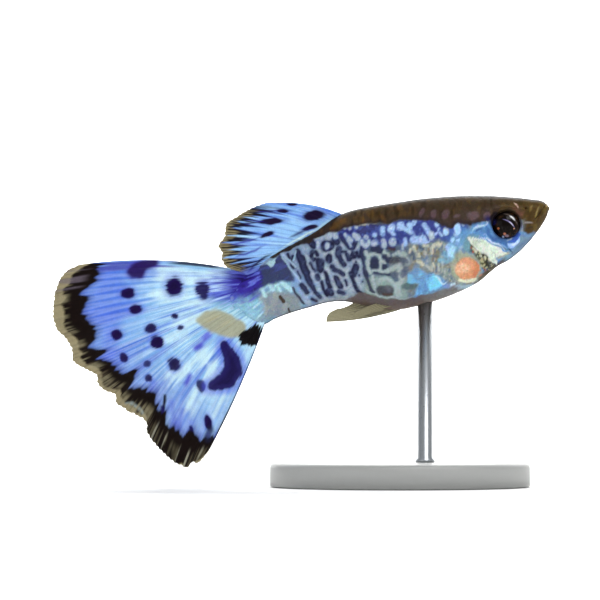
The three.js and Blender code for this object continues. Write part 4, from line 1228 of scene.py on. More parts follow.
def tail_swing(S, T):
    """The fan's wide waves towards and away from us, and the ruffles of its rim."""
    open_wave = 0.45 * np.sin(2.2 + 8.5 * T) + 0.3 * np.sin(21 * T) * S**2
    ruffle = 0.16 * np.sin(64 * T + 2 * np.sin(9 * T)) * smooth(0.7, 1, S) * smooth(0.25, 0.5, T)
    return smooth(0.05, 1, S) * open_wave + ruffle


def tail_bow(T):
    """How far the rays curve: upper ones one way, lower ones the other."""
    upper, middle = 0.88 * (1 - smooth(0, 0.35, T)), 1.1 * smooth(0.4, 0.72, T) * smooth(1.0, 0.8, T)
    return upper + middle - 0.3 * smooth(0.85, 1, T)


tail, S, T = fin_sheet(TAIL_ROOT, TAIL_TIPS, 130, 330, tail_bow, tail_swing, fray(0.28, 62))
tail_rays = ray_ridges(S, T, TAIL_RAYS)
print("tail fan", round(np.ptp(tail[..., 0]), 1), "by", round(np.ptp(tail[..., 2]), 1), "mm")

# %% A fresh canvas for a fin
def canvas(points, ground, wobble):
    """Starts a new coat of paint on other points, with the same wavering hand."""
    global coat, WX, WZ, HX, HZ, grain
    coat = np.tile(tint(ground), (len(points), 1))
    shift = wobble * np.stack([cloud(points, 0.5, 31), cloud(points, 0.5, 32)], -1)
    WX, WZ = points[:, 0] + shift[:, 0], points[:, 2] + shift[:, 1]
    HX, HZ = WX, WZ
    grain = cloud(points, 0.3, 33)


def streaks(S, T, count, length, seed):
    """Noise drawn out along the rays: count streaks over the fan, each about length of the way out."""
    return cloud(np.stack([T * count, 0 * T, S / length], -1), 1.0, seed).ravel()


def along_edge(t, count, seed):
    """Noise that changes only along a fin's edge, count times."""
    return cloud(np.stack([t * count, 0 * t, 0 * t], -1), 1.0, seed)


print("streaks vary by", streaks(S, T, 40, 0.5, 35).std().round(2))

# %% Tail ground colours
tail_points = tail.reshape(-1, 3)
canvas(tail_points, "8ec0e8", 0.10)
tail_length = np.linalg.norm(tail[-1] - tail[0], axis=1)[None, :]
from_edge = ((1 - S) * tail_length).ravel()
s, t = S.ravel(), T.ravel()
paint(smooth(0.38, 0.85, s + 0.14 * streaks(S, T, 26, 0.5, 34)), "5f8ad8", 0.92)
paint(smooth(0.55, 0.95, s) * smooth(0.35, 0.7, t), "7688c6", 0.6)
paint(smooth(0.34, 0.06, s), "b9dff2", 0.8)
print("tail ground laid")

# %% Streaks along the tail's rays
paint(smooth(0.15, 0.6, streaks(S, T, 40, 0.45, 35)) * smooth(0.85, 0.4, s), "c4e8f8", 0.6)
paint(smooth(0.1, 0.6, streaks(S, T, 46, 0.4, 36)), "4668d2", 0.6)
paint(smooth(0.2, 0.6, streaks(S, T, 120, 0.5, 37)), "3a57c4", 0.4)
paint(smooth(0.1, 0.5, streaks(S, T, 150, 0.35, 38)) * smooth(0.98, 0.4, s), "d6effb", 0.4)
paint(smooth(0.2, 0.7, cloud(tail_points, (3.2, 3, 3.0), 39)) * smooth(0.3, 0.5, s), "3f55d4", 0.55)
paint(smooth(0.42, 0.1, t) * smooth(0.35, 0.75, s), "4a78e0", 0.5)
lower_part = smooth(0.55, 0.8, t) * smooth(0.2, 0.4, s)
paint(lower_part * smooth(0.0, 0.5, streaks(S, T, 30, 0.7, 50)), "acd8f2", 0.6)
paint(np.clip(tail_rays.ravel(), 0, 1) * smooth(0.1, 0.3, s), "e2f3fb", 0.16)
print("tail streaked")

# %% Pale smears over the fan
# Each row is a width, then points x, z, in tenths of a mm
PALE_SMEARS = [
    (12, -235, 210, -205, 208, -180, 214), (11, -240, 190, -205, 186, -190, 184),
    (12, -222, 165, -200, 172), (7, -240, 143, -215, 150), (12, -196, 130, -186, 112, -190, 95),
    (9, -230, 112, -215, 118), (8, -205, 100, -210, 80), (7, -175, 90, -186, 70),
]
smeared = 0.9 * streaks(S, T, 60, 0.3, 72)
for width, *line in PALE_SMEARS:
    line = np.array(line, float).reshape(-1, 2) / 10
    paint(smooth(0.6, -0.6, from_line(WX, WZ, line)[0] - width / 20 + smeared), "d2f0f6", 0.75)
dabs("5560d0", 0.6, [
    (6, -229, 84, -226, 66), (5, -217, 78, -221, 60), (4, -209, 66, -211, 54),
    (4, -246, 104, -250, 96),
], 0.5)
print(len(PALE_SMEARS), "pale smears")

# %% Tail spots
# centre x, centre z, width, height, turn in degrees, darkness
TAIL_SPOTS = [
    (-27.2, 19.37, 1.5, 1.1, 5, 0.95), (-22.6, 20.1, 1.8, 2.0, 0, 1.0),
    (-26.4, 17.8, 1.5, 1.0, 8, 0.95), (-22.5, 17.1, 0.6, 0.55, 0, 0.9),
    (-21.95, 16.0, 0.65, 0.55, 0, 0.85), (-24.9, 15.85, 1.25, 1.1, 10, 0.9),
    (-28.3, 15.25, 1.25, 1.1, 15, 0.95), (-24.3, 14.5, 1.35, 1.35, 20, 1.0),
    (-27.65, 13.0, 0.85, 1.0, 20, 0.9), (-22.6, 12.3, 1.25, 1.45, 20, 0.9),
    (-25.3, 12.35, 0.75, 0.6, 30, 0.75), (-25.1, 10.9, 0.75, 0.9, 40, 0.85),
    (-19.9, 10.1, 0.85, 1.4, 15, 0.85), (-19.2, 6.5, 0.75, 1.6, 10, 1.0),
]
streaked = smooth(-0.6, 0.2, oval(WX, WZ, (-27.5, 22.2), 9, 1.9, 4))
paint(streaked * smooth(0.0, 0.5, streaks(S, T, 70, 0.25, 49)), "3b2fa0", 0.75)
rag = 0.16 * streaks(S, T, 130, 0.6, 40)
for x, z, w, h, turn, dark in TAIL_SPOTS:
    spot = oval(WX, WZ, (x, z), w, h, turn)
    paint(smooth(-0.75, 0.1, spot), "5262d8", 0.45 * dark)
    paint(smooth(-0.12, 0.28, spot + rag), "1d0d49", min(1.0, 1.06 * dark))
    paint(smooth(0.25, 0.8, spot), "140c2e", 0.6 * dark)
print(len(TAIL_SPOTS), "round spots")

# %% The crescent and the blotch on the top edge
crescent = [(-17.6, 14.2), (-16.9, 13.0), (-16.6, 11.7), (-17.4, 10.7), (-18.8, 10.1)]
to_crescent, along_crescent = from_line(WX, WZ, crescent)
crescent_half = np.interp(along_crescent, [0, 0.35, 0.7, 1], [0.45, 0.85, 1.0, 0.45])
paint(smooth(0.9, 0.1, to_crescent - crescent_half), "4a52d6", 0.6)
paint(smooth(0.12, -0.15, to_crescent - crescent_half + 0.5 * rag), "1d0f50", 0.97)
paint(smooth(0.0, -0.5, to_crescent - crescent_half + 0.3), "130a30", 0.5)
top_blotch = inside(WX, WZ, rounded([
    (-27.3, 21.6), (-26.5, 22.4), (-25.6, 22.75), (-24.3, 22.75), (-24.3, 22.2), (-25.3, 21.7),
    (-25.8, 21.0), (-26.8, 20.9),
]))
paint(smooth(-0.5, 0.1, top_blotch), "4a3cb4", 0.6)
paint(smooth(-0.15, 0.25, top_blotch + rag), "25104f", 0.95)
dabs("5a5cd2", 0.85, [
    (6, -204, 139, -199, 143), (7, -195, 148, -192, 152), (4, -214, 104, -210, 111),
], 0.3)
dabs("3f36b0", 0.7, [(3, -203, 139, -200, 142), (2, -213, 105, -211, 109)], 0.3)
print("crescent", round(float(np.ptp(np.array(crescent)[:, 1])), 1), "mm high")

# %% Tail root patches
violet_root(streaks(S, T, 60, 0.14, 42))
root_spot = oval(WX, WZ, (-19.75, 19.75), 1.35, 1.9, 8)
paint(smooth(-0.6, 0.1, root_spot), "4a50c8", 0.5)
paint(smooth(-0.15, 0.25, root_spot + 2 * rag), "1c1048", 0.95)
patch(rounded([
    (-20.3, 16.8), (-18.6, 17.75), (-15.6, 16.4), (-15.9, 15.1), (-18.0, 15.2), (-19.6, 15.9),
]), "a3a182", 0.22, 0.9)
root_tan = [(-20, 16.9), (-18.6, 17.6), (-16, 16.3), (-18.3, 15.4)]
tan_streaks = smooth(0, 0.3, inside(WX, WZ, root_tan)) * smooth(0, 0.5, streaks(S, T, 90, 0.3, 41))
paint(tan_streaks, "bdb692", 0.5)
root_black = inside(WX, WZ, rounded([
    (-16.2, 15.3), (-15.2, 15.95), (-13.9, 16.2), (-13.9, 14.9), (-14.4, 14.2), (-15.7, 14.3),
]))
paint(smooth(-0.12, 0.12, root_black + 0.35 * streaks(S, T, 110, 0.2, 73)), "0f0b0d")
paint(smooth(0.022, 0.008, 1 - t), "1a1c3c", 0.8)
paint(smooth(0.045, 0.025, t) * smooth(0.16, 0.24, s) * smooth(0.5, 0.4, s), "191428", 0.9)
print("tail root patches painted")

# %% [markdown]
# ## The ragged black margin
# The fan ends in a black band with teeth that reach in between the rays, and its very edge is worn
# to a pale tan. A drawn outline would be too smooth. So the band's depth is read from a few numbers
# round the edge, and noise that changes only along the edge adds the teeth.

# %% The black margin
tooth = 1.25 * along_edge(t, 34, 43) + 0.55 * along_edge(t, 90, 44)
margin_at = [0, 0.03, 0.08, 0.25, 0.45, 0.6, 0.72, 0.84, 0.94, 1.0]
margin = np.interp(t, margin_at, [1.0, 3.3, 3.5, 2.8, 2.5, 2.7, 2.7, 3.3, 2.4, 2.0])
in_margin = margin + tooth - from_edge
black = smooth(-0.28, 0.22, in_margin + 0.5 * rag)
paint(black, "140c0a")
dabs("140c0a", 1.0, [(2.4, -235, 91, -236, 80), (4.6, -237, 79, -240, 62), (4, -209, 60, -209, 40)], 0.12)
dabs("1b1d33", 0.85, [(7, -190, 58, -192, 48)], 0.25)
dabs("98a4a0", 0.8, [(2.8, -277, 83, -268, 84, -262, 79, -255, 71)], 0.15)
paint(smooth(0.972, 0.992, t) * smooth(0.55, 0.8, s), "14100f", 0.9)
print("margin covers", round(100 * black.mean()), "% of the fan")

# %% Its tan edge, pale hairlines and blue fringe
tan_at = [0, 0.1, 0.3, 0.45, 0.66, 0.74, 0.88, 1.0]
tan_depth = np.interp(t, tan_at, [1.2, 1.1, 0.95, 0.6, 0.5, -0.2, -0.1, 0.3])
tan_depth = tan_depth + 0.35 * along_edge(t, 60, 45)
paint(smooth(-0.15, 0.15, tan_depth - from_edge), "958b6c", 0.95)
brown_streaks = smooth(0.0, 0.5, streaks(S, T, 170, 0.25, 46)) * smooth(1.6, 0.6, from_edge)
paint(brown_streaks * smooth(0.76, 0.7, t), "6b614c", 0.6)
hairlines = smooth(0.25, 0.55, streaks(S, T, 190, 0.6, 47))
hairlines = np.maximum(hairlines, smooth(0.3, 0.6, streaks(S, T, 120, 0.4, 48)))
hairlines *= smooth(1.9, 1.0, from_edge) * (1 - 0.6 * smooth(0.68, 0.74, t))
paint(hairlines * black, "9a9274", 0.5)
top_corner = smooth(0.1, 0.5, streaks(S, T, 90, 0.3, 78)) * smooth(0.02, 0.05, t) * smooth(0.16, 0.1, t)
paint(top_corner * black * smooth(3.4, 2.2, from_edge), "6e6470", 0.6)
low_tip = smooth(0.3, 0.6, streaks(S, T, 230, 0.5, 60)) * smooth(0.7, 0.78, t)
paint(low_tip * black * smooth(2.2, 1.0, from_edge), "aeac98", 0.7)
blue_fringe = smooth(1.2, 0.2, in_margin) * smooth(-0.9, -0.1, in_margin)
paint(blue_fringe * (1 - black), "2a2a8c", 0.45)
coat = np.clip(coat * (1 + 0.06 * grain)[:, None], 0.002, 1)
print("margin painted, mean", coat.mean(0).round(2))

# %% The tail fin piece
fin_skin = painted_material(
    "blue fin membrane", 0.10, 0.10, 0.09, 0.012, (0.35, 0.5),
    Coat_Weight=0.0, Specular_IOR_Level=0.04,
)[0]
tail_half = (0.045 + 0.075 * tail_rays * smooth(1.02, 0.6, S)) * (1 - 0.5 * S)
tail_half += 0.33 * smooth(0.16, 0.0, S)
tail_piece = fin_mesh("tail_fan", tail, tail_half, {"paint": coat}, fin_skin)
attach(tail_piece, "root")
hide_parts("caudal_fin")

# %% [markdown]
# ## The dorsal fin
# The dorsal fin grows from the back just behind its highest part and sweeps down to the left over
# the tail root. It leans to the near side, so that its hind corner hangs clear of the tail fan.
# The fin tools make it in the same way as the fan, with its own outline, rays and spots.

# %% The dorsal fin's form
DORSAL_ROOT = [(-5.0, 26.95), (-8.3, 24.6), (-12.5, 23.0)]
DORSAL_TIPS = [
    (-12.3, 28.42), (-13.7, 28.42), (-15.2, 27.8), (-16.35, 27.1), (-17.35, 26.45), (-17.55, 25.7),
    (-17.75, 24.95), (-18.25, 24.1), (-17.9, 23.4), (-18.0, 22.8), (-17.65, 22.2), (-17.0, 21.8),
    (-16.1, 21.55), (-15.3, 21.15),
]


def dorsal_swing(S, T):
    """How far the fin leans to the near side, with its small waves."""
    lean = -1.15 * S**1.4 * (0.35 + 0.65 * T) + 0.08 * np.sin(9 * T) * S
    return lean + 0.05 * np.sin(40 * T) * smooth(0.6, 1, S)


dorsal, S, T = fin_sheet(
    DORSAL_ROOT, DORSAL_TIPS, 90, 150, lambda T: 0.5 - 0.7 * T, dorsal_swing, fray(0.25, 26),
)
dorsal_rays = ray_ridges(S, T, 9)
dorsal_points = dorsal.reshape(-1, 3)
s, t = S.ravel(), T.ravel()
from_edge = ((1 - S) * np.linalg.norm(dorsal[-1] - dorsal[0], axis=1)[None, :]).ravel()
print("dorsal fin", round(np.ptp(dorsal[..., 0]), 1), "by", round(np.ptp(dorsal[..., 2]), 1), "mm")

# %% The dorsal fin's blues
canvas(dorsal_points, "78abe8", 0.08)
paint(smooth(0.3, 0.0, s), "a6d4ee", 0.8)
pale_middle = oval(WX, WZ, (-11.6, 25.0), 7, 3.6, 22) + 0.4 * streaks(S, T, 30, 0.5, 50)
paint(smooth(-0.6, 0.5, pale_middle), "98c8f4", 0.85)
paint(smooth(0.2, 0.6, streaks(S, T, 26, 0.5, 51)), "4f78da", 0.65)
paint(smooth(0.1, 0.6, streaks(S, T, 60, 0.5, 52)), "4460c4", 0.4)
paint(smooth(0.2, 0.6, streaks(S, T, 40, 0.6, 53)), "b4defa", 0.5)
paint(np.clip(dorsal_rays.ravel(), 0, 1), "c4e4fa", 0.2)
print("blues laid, mean", coat.mean(0).round(2))

# %% The dorsal fin's spots and dark lines
# centre x, centre z, width, height, turn
DORSAL_SPOTS = [
    (-8.6, 27.15, 2.5, 1.15, 8), (-11.7, 27.65, 1.3, 0.38, 0), (-12.9, 26.6, 2.8, 0.66, 2),
    (-10.8, 28.3, 1.3, 0.3, 0), (-13.3, 25.25, 1.5, 0.5, 20), (-9.0, 25.95, 1.7, 0.5, 15),
    (-15.4, 27.5, 0.9, 0.3, 10),
]
rag = 0.1 * streaks(S, T, 60, 0.5, 54)
for x, z, w, h, turn in DORSAL_SPOTS:
    spot = oval(WX, WZ, (x, z), w, h, turn)
    paint(smooth(-0.6, 0.0, spot), "4a4fc0", 0.35)
    paint(smooth(-0.1, 0.3, spot + rag), "1a0e2e")
stroke([(-11.7, 27.68), (-13.6, 27.6), (-15.5, 27.42)], "2a2062", 0.09, 0.9)
stroke([(-13.5, 26.65), (-15.5, 26.3), (-17.1, 25.9)], "2a1c5c", 0.11, 0.9)
stroke([(-11.1, 24.9), (-10.2, 25.35), (-9.0, 25.9)], "2b2560", 0.14, 0.85)
stroke([(-14.0, 25.0), (-15.4, 24.6), (-17.0, 24.2)], "3c34a4", 0.12, 0.85)
stroke([(-13.6, 24.1), (-15.0, 23.5), (-16.6, 23.0)], "3c34a4", 0.12, 0.85)
stroke([(-12.8, 23.3), (-13.6, 22.9), (-14.5, 22.2), (-15.3, 21.5)], "140c20", 0.17, 0.95)
near_root = smooth(0.3, 0.05, s) * smooth(0.15, 0.4, t)
paint(near_root * smooth(0.1, 0.5, streaks(S, T, 44, 0.8, 55)), "46484c", 0.6)
stroke([(-6.9, 26.9), (-8.0, 26.05), (-9.6, 25.15), (-11.3, 24.25), (-12.2, 23.6)], "c4eaf6", 0.13, 0.8)
stroke([(-8.4, 25.75), (-9.8, 25.05), (-11.2, 24.35)], "e0f4f4", 0.06, 0.8)
paint(smooth(22.5, 21.6, WZ) * smooth(-17.4, -16.4, WX), "3c34a8", 0.75)
print(len(DORSAL_SPOTS), "spots on the dorsal fin")

# %% [markdown]
# ## Flames along the edge
# Behind the blue the dorsal fin is edged with black and tan flames that point inwards between its
# rays, each with its own length. They could be drawn, but there are about a hundred, all alike in
# form. So a function counts them along the edge and draws a lot for the length of each.

# %% The dorsal fin's dark and tan wedges
def wedges(place, out, low, high, seed):
    """Streaks that taper inwards from a fin's edge. place counts them, out is mm from the edge."""
    count = 80
    lots = np.random.default_rng(seed).random((2, count))
    number = np.clip(np.floor(place).astype(int), 0, count - 1)
    reach = low + (high - low) * lots[0, number]
    middle = number + 0.35 + 0.3 * lots[1, number]
    return smooth(-0.03, 0.12, 0.5 * (1 - out / reach) - np.abs(place - middle))


behind = smooth(0.12, 0.26, t) * smooth(0.97, 0.88, t)
paint(behind * wedges(t * 15, from_edge, 3.0, 5.2, 56), "2a2585", 0.85)
paint(behind * wedges(t * 15, 0.72 * from_edge, 1.7, 3.4, 57), "120c12", 0.95)
paint(behind * wedges(t * 31 + 0.3, 0.65 * from_edge, 0.9, 2.5, 58), "120d0c", 0.95)
paint(behind * wedges(t * 44 + 0.6, from_edge, 0.9, 2.3, 59) * smooth(0.2, 0.3, t), "8b8160", 0.9)
paint(behind * smooth(0.22, 0.3, t) * smooth(0.35, 0.1, from_edge), "857b5c", 0.7)
paint(smooth(0.3, 0.2, t) * smooth(0.14, 0.05, from_edge), "2c3252", 0.7)
coat = np.clip(coat * (1 + 0.06 * grain)[:, None], 0.002, 1)
print("wedges painted, mean", coat.mean(0).round(2))

# %% The dorsal fin piece
dorsal_half = (0.04 + 0.07 * dorsal_rays * smooth(1.02, 0.6, S)) * (1 - 0.5 * S)
dorsal_half += 0.2 * smooth(0.12, 0.0, S)
dorsal_piece = fin_mesh("dorsal_fan", dorsal, dorsal_half, {"paint": coat}, fin_skin)
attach(dorsal_piece, "root")
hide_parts("dorsal_fin")

# %% [markdown]
# ## The small clear fins
# A male's anal fin is narrow and folded back, like a rod. The pelvic fins lie beside it, and the
# pectoral fins behind the gill covers. These are nearly clear, so their material lets light
# through between the rays, by an alpha that is stored on the points. Glass would bend the light
# as well, which thin wet skin hardly does, and it would take far longer to render.

# %% Clear fin material
clear_skin, tree, shader = painted_material(
    "clear fin membrane", 0.10, 0.12, 0.09, 0.01, (0.25, 0.4),
    Coat_Weight=0.05, Coat_Roughness=0.15, Specular_IOR_Level=0.25,
)
see = node(tree, "Attribute", attribute_name="cover")
tree.links.new(see.outputs["Fac"], shader.inputs["Alpha"])
print("clear fin material has", len(tree.nodes), "nodes")

# %% Builder of the small fins
SMALL_ROWS, SMALL_COLUMNS = 46, 60


def clear_fin(name, replaced, root, tips, bow, swing, rays, ground, cover, ray_cover, thick):
    """A small fin with fine rays, clear between them by cover from 0 to 1."""
    sheet, S, T = fin_sheet(root, tips, SMALL_ROWS, SMALL_COLUMNS, bow, swing, fray(0.08, 3 * rays))
    ridges = ray_ridges(S, T, rays, ((0.35, 0.7, 0.25),), 0.12)
    canvas(sheet.reshape(-1, 3), ground, 0.03)
    paint(smooth(0.0, 0.6, streaks(S, T, 8 * rays, 0.5, 61)), "6f6a4a", 0.35)
    paint(ridges.ravel(), "c9c3a0", 0.45)
    paint(smooth(0.12, 0.0, np.minimum(T, 1 - T).ravel()), "4a4434", 0.35)
    opaque = np.clip(cover + (ray_cover - cover) * ridges**3 + 0.3 * smooth(0.1, 0, S), 0, 1)
    half = (thick + 0.05 * ridges) * (1 - 0.55 * S)
    piece = fin_mesh(name, sheet, half, {"paint": coat, "cover": opaque.ravel()}, clear_skin)
    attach(piece, "root")
    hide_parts(replaced)


print("ready for the small fins")

# %% Anal, pelvic and pectoral fins
clear_fin(
    "anal_fan", "anal_fin", [(0.4, 17.85), (-1.9, 18.4), (-4.5, 18.6)],
    [(-7.45, 16.5), (-7.34, 17.05), (-7.0, 17.5), (-6.3, 17.85)],
    lambda T: -0.3 + 0.15 * T, lambda S, T: 0 * S, 7, "7d775c", 0.94, 1.0, thick=0.12,
)
for side, word in ((1, "left"), (-1, "right")):
    clear_fin(
        "pelvic_fan_" + word, "pelvic_fin_" + word, [(0.75, 18.35), (0.2, 18.6), (-0.4, 18.75)],
        [(-4.3, 16.75), (-4.75, 17.05), (-4.7, 17.4)],
        lambda T: 0.25 + 0 * T, lambda S, T: side * (0.86 + 0.34 * S), 5, "7f795f", 0.8, 0.95, thick=0.08,
    )
    clear_fin(
        "pectoral_fan_" + word, "pectoral_fin_" + word, [(4.85, 22.7), (4.75, 22.2), (4.75, 21.7)],
        [(-0.2, 23.7), (-0.95, 23.0), (-1.25, 22.1), (-1.0, 21.2), (-0.2, 20.5)],
        lambda T: 0.3 - 0.6 * T, lambda S, T: side * (2.35 + 2.3 * S - 1.0 * S**2 - 0.35 * T * S),
        10, "a9ad98", 0.012, 0.16, thick=0.03,
    )
print("small fins of", SMALL_ROWS, "by", SMALL_COLUMNS, "points on each face")

# %% [markdown]
# ## Wet eyes
# A fish eye has no lids: it is a flattened ball under a clear bulging cornea. This one looks
# almost black, with a dark brown iris and blue along its lower edge. Its long curved lights belong
# to the likeness, so they are painted in, and a glossy surface adds its own. A separate glass shell
# could do the same, but it could show a gap.

# %% What an eye looks like
# centre x, centre z, width, height, colour
EYE_GLINTS = [
    (9.74, 25.84, 0.32, 0.27, "9c5b3c"), (10.37, 25.3, 0.36, 0.32, "ae6f58"),
    (10.6, 25.1, 0.55, 0.36, "7a6c7a"), (10.23, 25.0, 0.24, 0.3, "a9b8d8"),
    (11.32, 25.84, 0.2, 0.2, "b58a76"),
]
wet_eye = painted_material(
    "wet eye", 0.08, 0.2, 0.2, 0.0, (0.05, 0.08), Coat_Weight=0.03,
    Coat_Roughness=0.01, Specular_IOR_Level=0.06,
)[0]


def paint_eye(points):
    """A dark iris with a blue lower edge, and over it the painted highlights, long and small."""
    canvas(points, "0d0806", 0.0)
    r = np.hypot(points[:, 0] - EYE_CENTRE[0], points[:, 2] - EYE_CENTRE[1]) / EYE_RADIUS
    paint(smooth(0.55, 0.68, r) * smooth(0.1, 0.6, cloud(points, 0.35, 71)), "33200f", 0.7)
    paint(smooth(0.86, 0.98, r) * smooth(-0.3, -0.9, WZ - EYE_CENTRE[1]), "27407c", 0.6)
    stroke([(9.0, 26.9), (9.3, 26.5), (9.25, 26.1)], "1c1f58", 0.2, 0.8)
    # The two long curved lines and the small ovals after them are painted highlights, reflections on the
    # cornea
    stroke([
        (10.28, 27.31), (10.77, 27.18), (11.17, 26.91), (11.48, 26.55), (11.71, 26.15),
    ], "5f544f", 0.09, 0.9)
    stroke([(10.85, 27.12), (11.17, 26.91), (11.42, 26.62)], "f4f6fa", 0.08, 1.0)
    stroke([
        (10.14, 26.77), (10.59, 26.64), (10.95, 26.42), (11.21, 26.15), (11.38, 25.88),
    ], "8a83b4", 0.06, 0.95)
    stroke([(10.75, 26.55), (11.0, 26.37), (11.25, 26.08)], "d9d6ec", 0.04, 0.95)
    for x, z, w, h, code in EYE_GLINTS:
        paint(smooth(0.0, 0.5, oval(WX, WZ, (x, z), w, h)), code, 0.9)


print("eye paint ready, with", len(EYE_GLINTS), "small lights")

# %% Eyes
# Distance of a ball's middle from the fish's middle, and how far it bulges
EYE_Y, EYE_THICK = 1.66, 0.92
EYE_ROWS, EYE_COLUMNS = 60, 96
for side, word in ((1, "left"), (-1, "right")):
    tilt = np.linspace(0, math.pi * 0.62, EYE_ROWS)[:, None]
    around = np.linspace(0, 2 * math.pi, EYE_COLUMNS, endpoint=False)[None, :]
    out = np.sin(tilt)
    dome = 1.0 + 0.05 * smooth(0.75, 0.0, out)
    ball = np.stack([
        EYE_CENTRE[0] + EYE_RADIUS * out * np.cos(around),
        side * (EYE_Y + EYE_THICK * dome * np.cos(tilt)) + 0 * around,
        EYE_CENTRE[1] + EYE_RADIUS * out * np.sin(around),
    ], -1)
    points = ball.reshape(-1, 3)
    paint_eye(points)
    faces = grid_faces(EYE_ROWS, EYE_COLUMNS, closed=True, flip=side > 0)
    eye_piece = make_piece("eye_ball_" + word, points, faces, {"paint": coat}, wet_eye)
    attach(eye_piece, "root")
    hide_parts("eye_" + word)

# %% [markdown]
# ## The stand
# The stand stays quiet: a low oval base with a soft rim, in satin grey, and one thin steel rod
# that reaches the skin. Both are turned shapes, so one profile and a loop of points makes each.

# %% Turned shapes
def turned(name, profile, centre, stretch, material, replaced, count=96):
    """A solid of rings, from a profile of (radius, height) in mm, stretched along x and y."""
    a = np.linspace(0, 2 * math.pi, count, endpoint=False)
    circle = np.stack([stretch[0] * np.cos(a), stretch[1] * np.sin(a), 0 * a], -1)
    points = np.vstack([[centre[0], centre[1], height] + radius * circle for radius, height in profile])
    faces = grid_faces(len(profile), count, closed=True, flip=True).tolist()
    faces += [list(range(count))[::-1], [len(points) - count + k for k in range(count)]]
    piece = make_piece(name, points, faces, {}, material)
    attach(piece, "root")
    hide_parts(replaced)


print("turning lathe ready")

# %% Finish of made surfaces
def plain_finish(name, code, roughness, grain_size, spread, **values):
    """A made surface: one colour with a faint grain and uneven gloss."""
    material, tree, shader = new_material(name, **values)
    place = node(tree, "TexCoord")
    speckle = node(tree, "TexNoise", Scale=1 / (grain_size * MM), Detail=4.0)
    tree.links.new(place.outputs["Object"], speckle.inputs["Vector"])
    ramp = node(tree, "ValToRGB")
    for stop, share in zip(ramp.color_ramp.elements, (1 - spread, 1 + spread)):
        stop.color = (*np.clip(tint(code) * share, 0, 1), 1)
    tree.links.new(speckle.outputs["Fac"], ramp.inputs["Fac"])
    tree.links.new(ramp.outputs["Color"], shader.inputs["Base Color"])
    gloss = node(tree, "MapRange", To_Min=roughness[0], To_Max=roughness[1])
    tree.links.new(speckle.outputs["Fac"], gloss.inputs["Value"])
    tree.links.new(gloss.outputs["Result"], shader.inputs["Roughness"])
    raised = node(tree, "Bump", Strength=0.25, Distance=0.01 * MM)
    tree.links.new(speckle.outputs["Fac"], raised.inputs["Height"])
    tree.links.new(raised.outputs["Normal"], shader.inputs["Normal"])
    return material


satin = plain_finish("satin grey base", "a3a4a2", (0.35, 0.5), 0.5, 0.03)
steel = plain_finish("brushed steel rod", "b4b8bc", (0.22, 0.4), 0.2, 0.06, Metallic=1.0)
print("stand finishes:", satin.name, "and", steel.name)

# %% Base and rod
BASE_HALF = (13.0, 9.0)
BASE_TOP = 2.5
# The rim's rounding, as a share of the half width and in mm of height
RIM_SHARE, RIM_HEIGHT = 0.055, 0.55
base_rim = [(0.96, 0.0), (1.0, 0.12)]
for q in np.linspace(0, math.pi / 2, 9):
    share = 1 - RIM_SHARE + RIM_SHARE * math.cos(q)
    base_rim.append((share, BASE_TOP - RIM_HEIGHT + RIM_HEIGHT * math.sin(q)))
base_rim.append((0.6, BASE_TOP))
turned("display_base", base_rim, (0, 0), BASE_HALF, satin, "stand_base")
ROD_X, ROD_RADIUS, ROD_TOP = 2.5, 0.75, 18.6
COLLAR_RADIUS = 0.95
rod = [(COLLAR_RADIUS, BASE_TOP), (COLLAR_RADIUS, 2.75), (ROD_RADIUS, 2.95), (ROD_RADIUS, ROD_TOP)]
turned("display_rod", rod, (ROD_X, 0), (1, 1), steel, "stand_rod", 48)
print("rod from", BASE_TOP, "to", ROD_TOP, "mm, ends inside the belly")

# %% [markdown]
# ## Camera, floor and light
# The photo looks straight at the right flank, with no visible perspective, so a long lens stands
# well back at the height of the picture's middle. The floor curves up into a pale backdrop, and
# big soft lights from above and both sides give the wet skin its broad highlights.

# %% Camera
PICTURE_WIDTH = 60.0
PICTURE_CENTRE = (-10.0, 18.72)
LENS, SENSOR = 320.0, 36.0
camera_data = bpy.data.cameras.new("camera")
camera_data.lens, camera_data.sensor_width = LENS, SENSOR
camera_data.clip_start, camera_data.clip_end = 0.01, 20
camera = bpy.data.objects.new("camera", camera_data)
bpy.context.scene.collection.objects.link(camera)
distance = PICTURE_WIDTH * LENS / SENSOR
camera.location = (PICTURE_CENTRE[0] * MM, -distance * MM, PICTURE_CENTRE[1] * MM)
camera.rotation_euler = (math.pi / 2, 0, 0)
bpy.context.scene.camera = camera
print("camera", round(distance), "mm away")

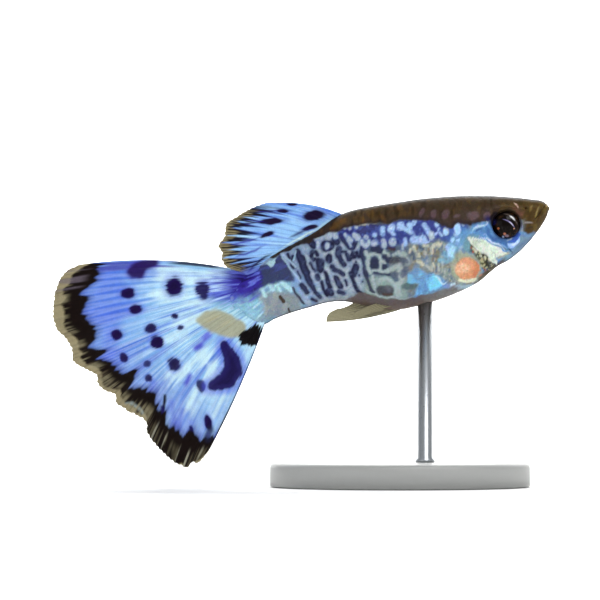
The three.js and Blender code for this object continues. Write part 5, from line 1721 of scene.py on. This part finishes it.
# %% Floor that curves up behind
FLAT_END, SWEEP_RADIUS, HALF_SPAN = 900, 300, 2500
sweep = [(-1500, 0.0), (FLAT_END, 0.0)]
for q in np.linspace(0, math.pi / 2, 16)[1:]:
    sweep.append((FLAT_END + SWEEP_RADIUS * math.sin(q), SWEEP_RADIUS - SWEEP_RADIUS * math.cos(q)))
sweep.append((FLAT_END + SWEEP_RADIUS, 1500))
floor_points = [(x * MM, y * MM, z * MM) for y, z in sweep for x in (-HALF_SPAN, HALF_SPAN)]
floor_faces = [(2 * k, 2 * k + 1, 2 * k + 3, 2 * k + 2) for k in range(len(sweep) - 1)]
floor_mesh = bpy.data.meshes.new("floor")
floor_mesh.from_pydata(floor_points, [], floor_faces)
floor_mesh.polygons.foreach_set("use_smooth", [True] * len(floor_mesh.polygons))
paper = plain_finish("pale paper floor", "f4f4f3", (0.8, 0.9), 30, 0.01)
floor_mesh.materials.append(paper)
floor = bpy.data.objects.new("floor", floor_mesh)
bpy.context.scene.collection.objects.link(floor)
print("floor sweeps up", round(float(sweep[-1][1])), "mm behind the model")

# %% Lights
def soft_light(name, place, aim, size, power):
    """A rectangular lamp, aimed at a point. Places and sizes in mm."""
    data = bpy.data.lights.new(name, "AREA")
    data.shape, data.size, data.size_y = "RECTANGLE", size[0] * MM, size[1] * MM
    data.energy = power
    lamp = bpy.data.objects.new(name, data)
    lamp.location = [v * MM for v in place]
    way = Vector(aim) - Vector(place)
    lamp.rotation_euler = way.to_track_quat("-Z", "Y").to_euler()
    bpy.context.scene.collection.objects.link(lamp)


soft_light("key", (120, -260, 300), (0, 0, 20), (200, 130), 0.72)
soft_light("fill", (-260, -300, 90), (-10, 0, 15), (200, 200), 0.12)
soft_light("backdrop", (0, 700, 900), (0, 1200, 200), (1500, 300), 36)
world = bpy.data.worlds.new("studio")
world.use_nodes = True
sky = world.node_tree.nodes["Background"]
sky.inputs["Color"].default_value = (0.95, 0.97, 1.0, 1)
sky.inputs["Strength"].default_value = 0.44
bpy.context.scene.world = world
bpy.context.scene.view_settings.view_transform = "Standard"
print("lights set")
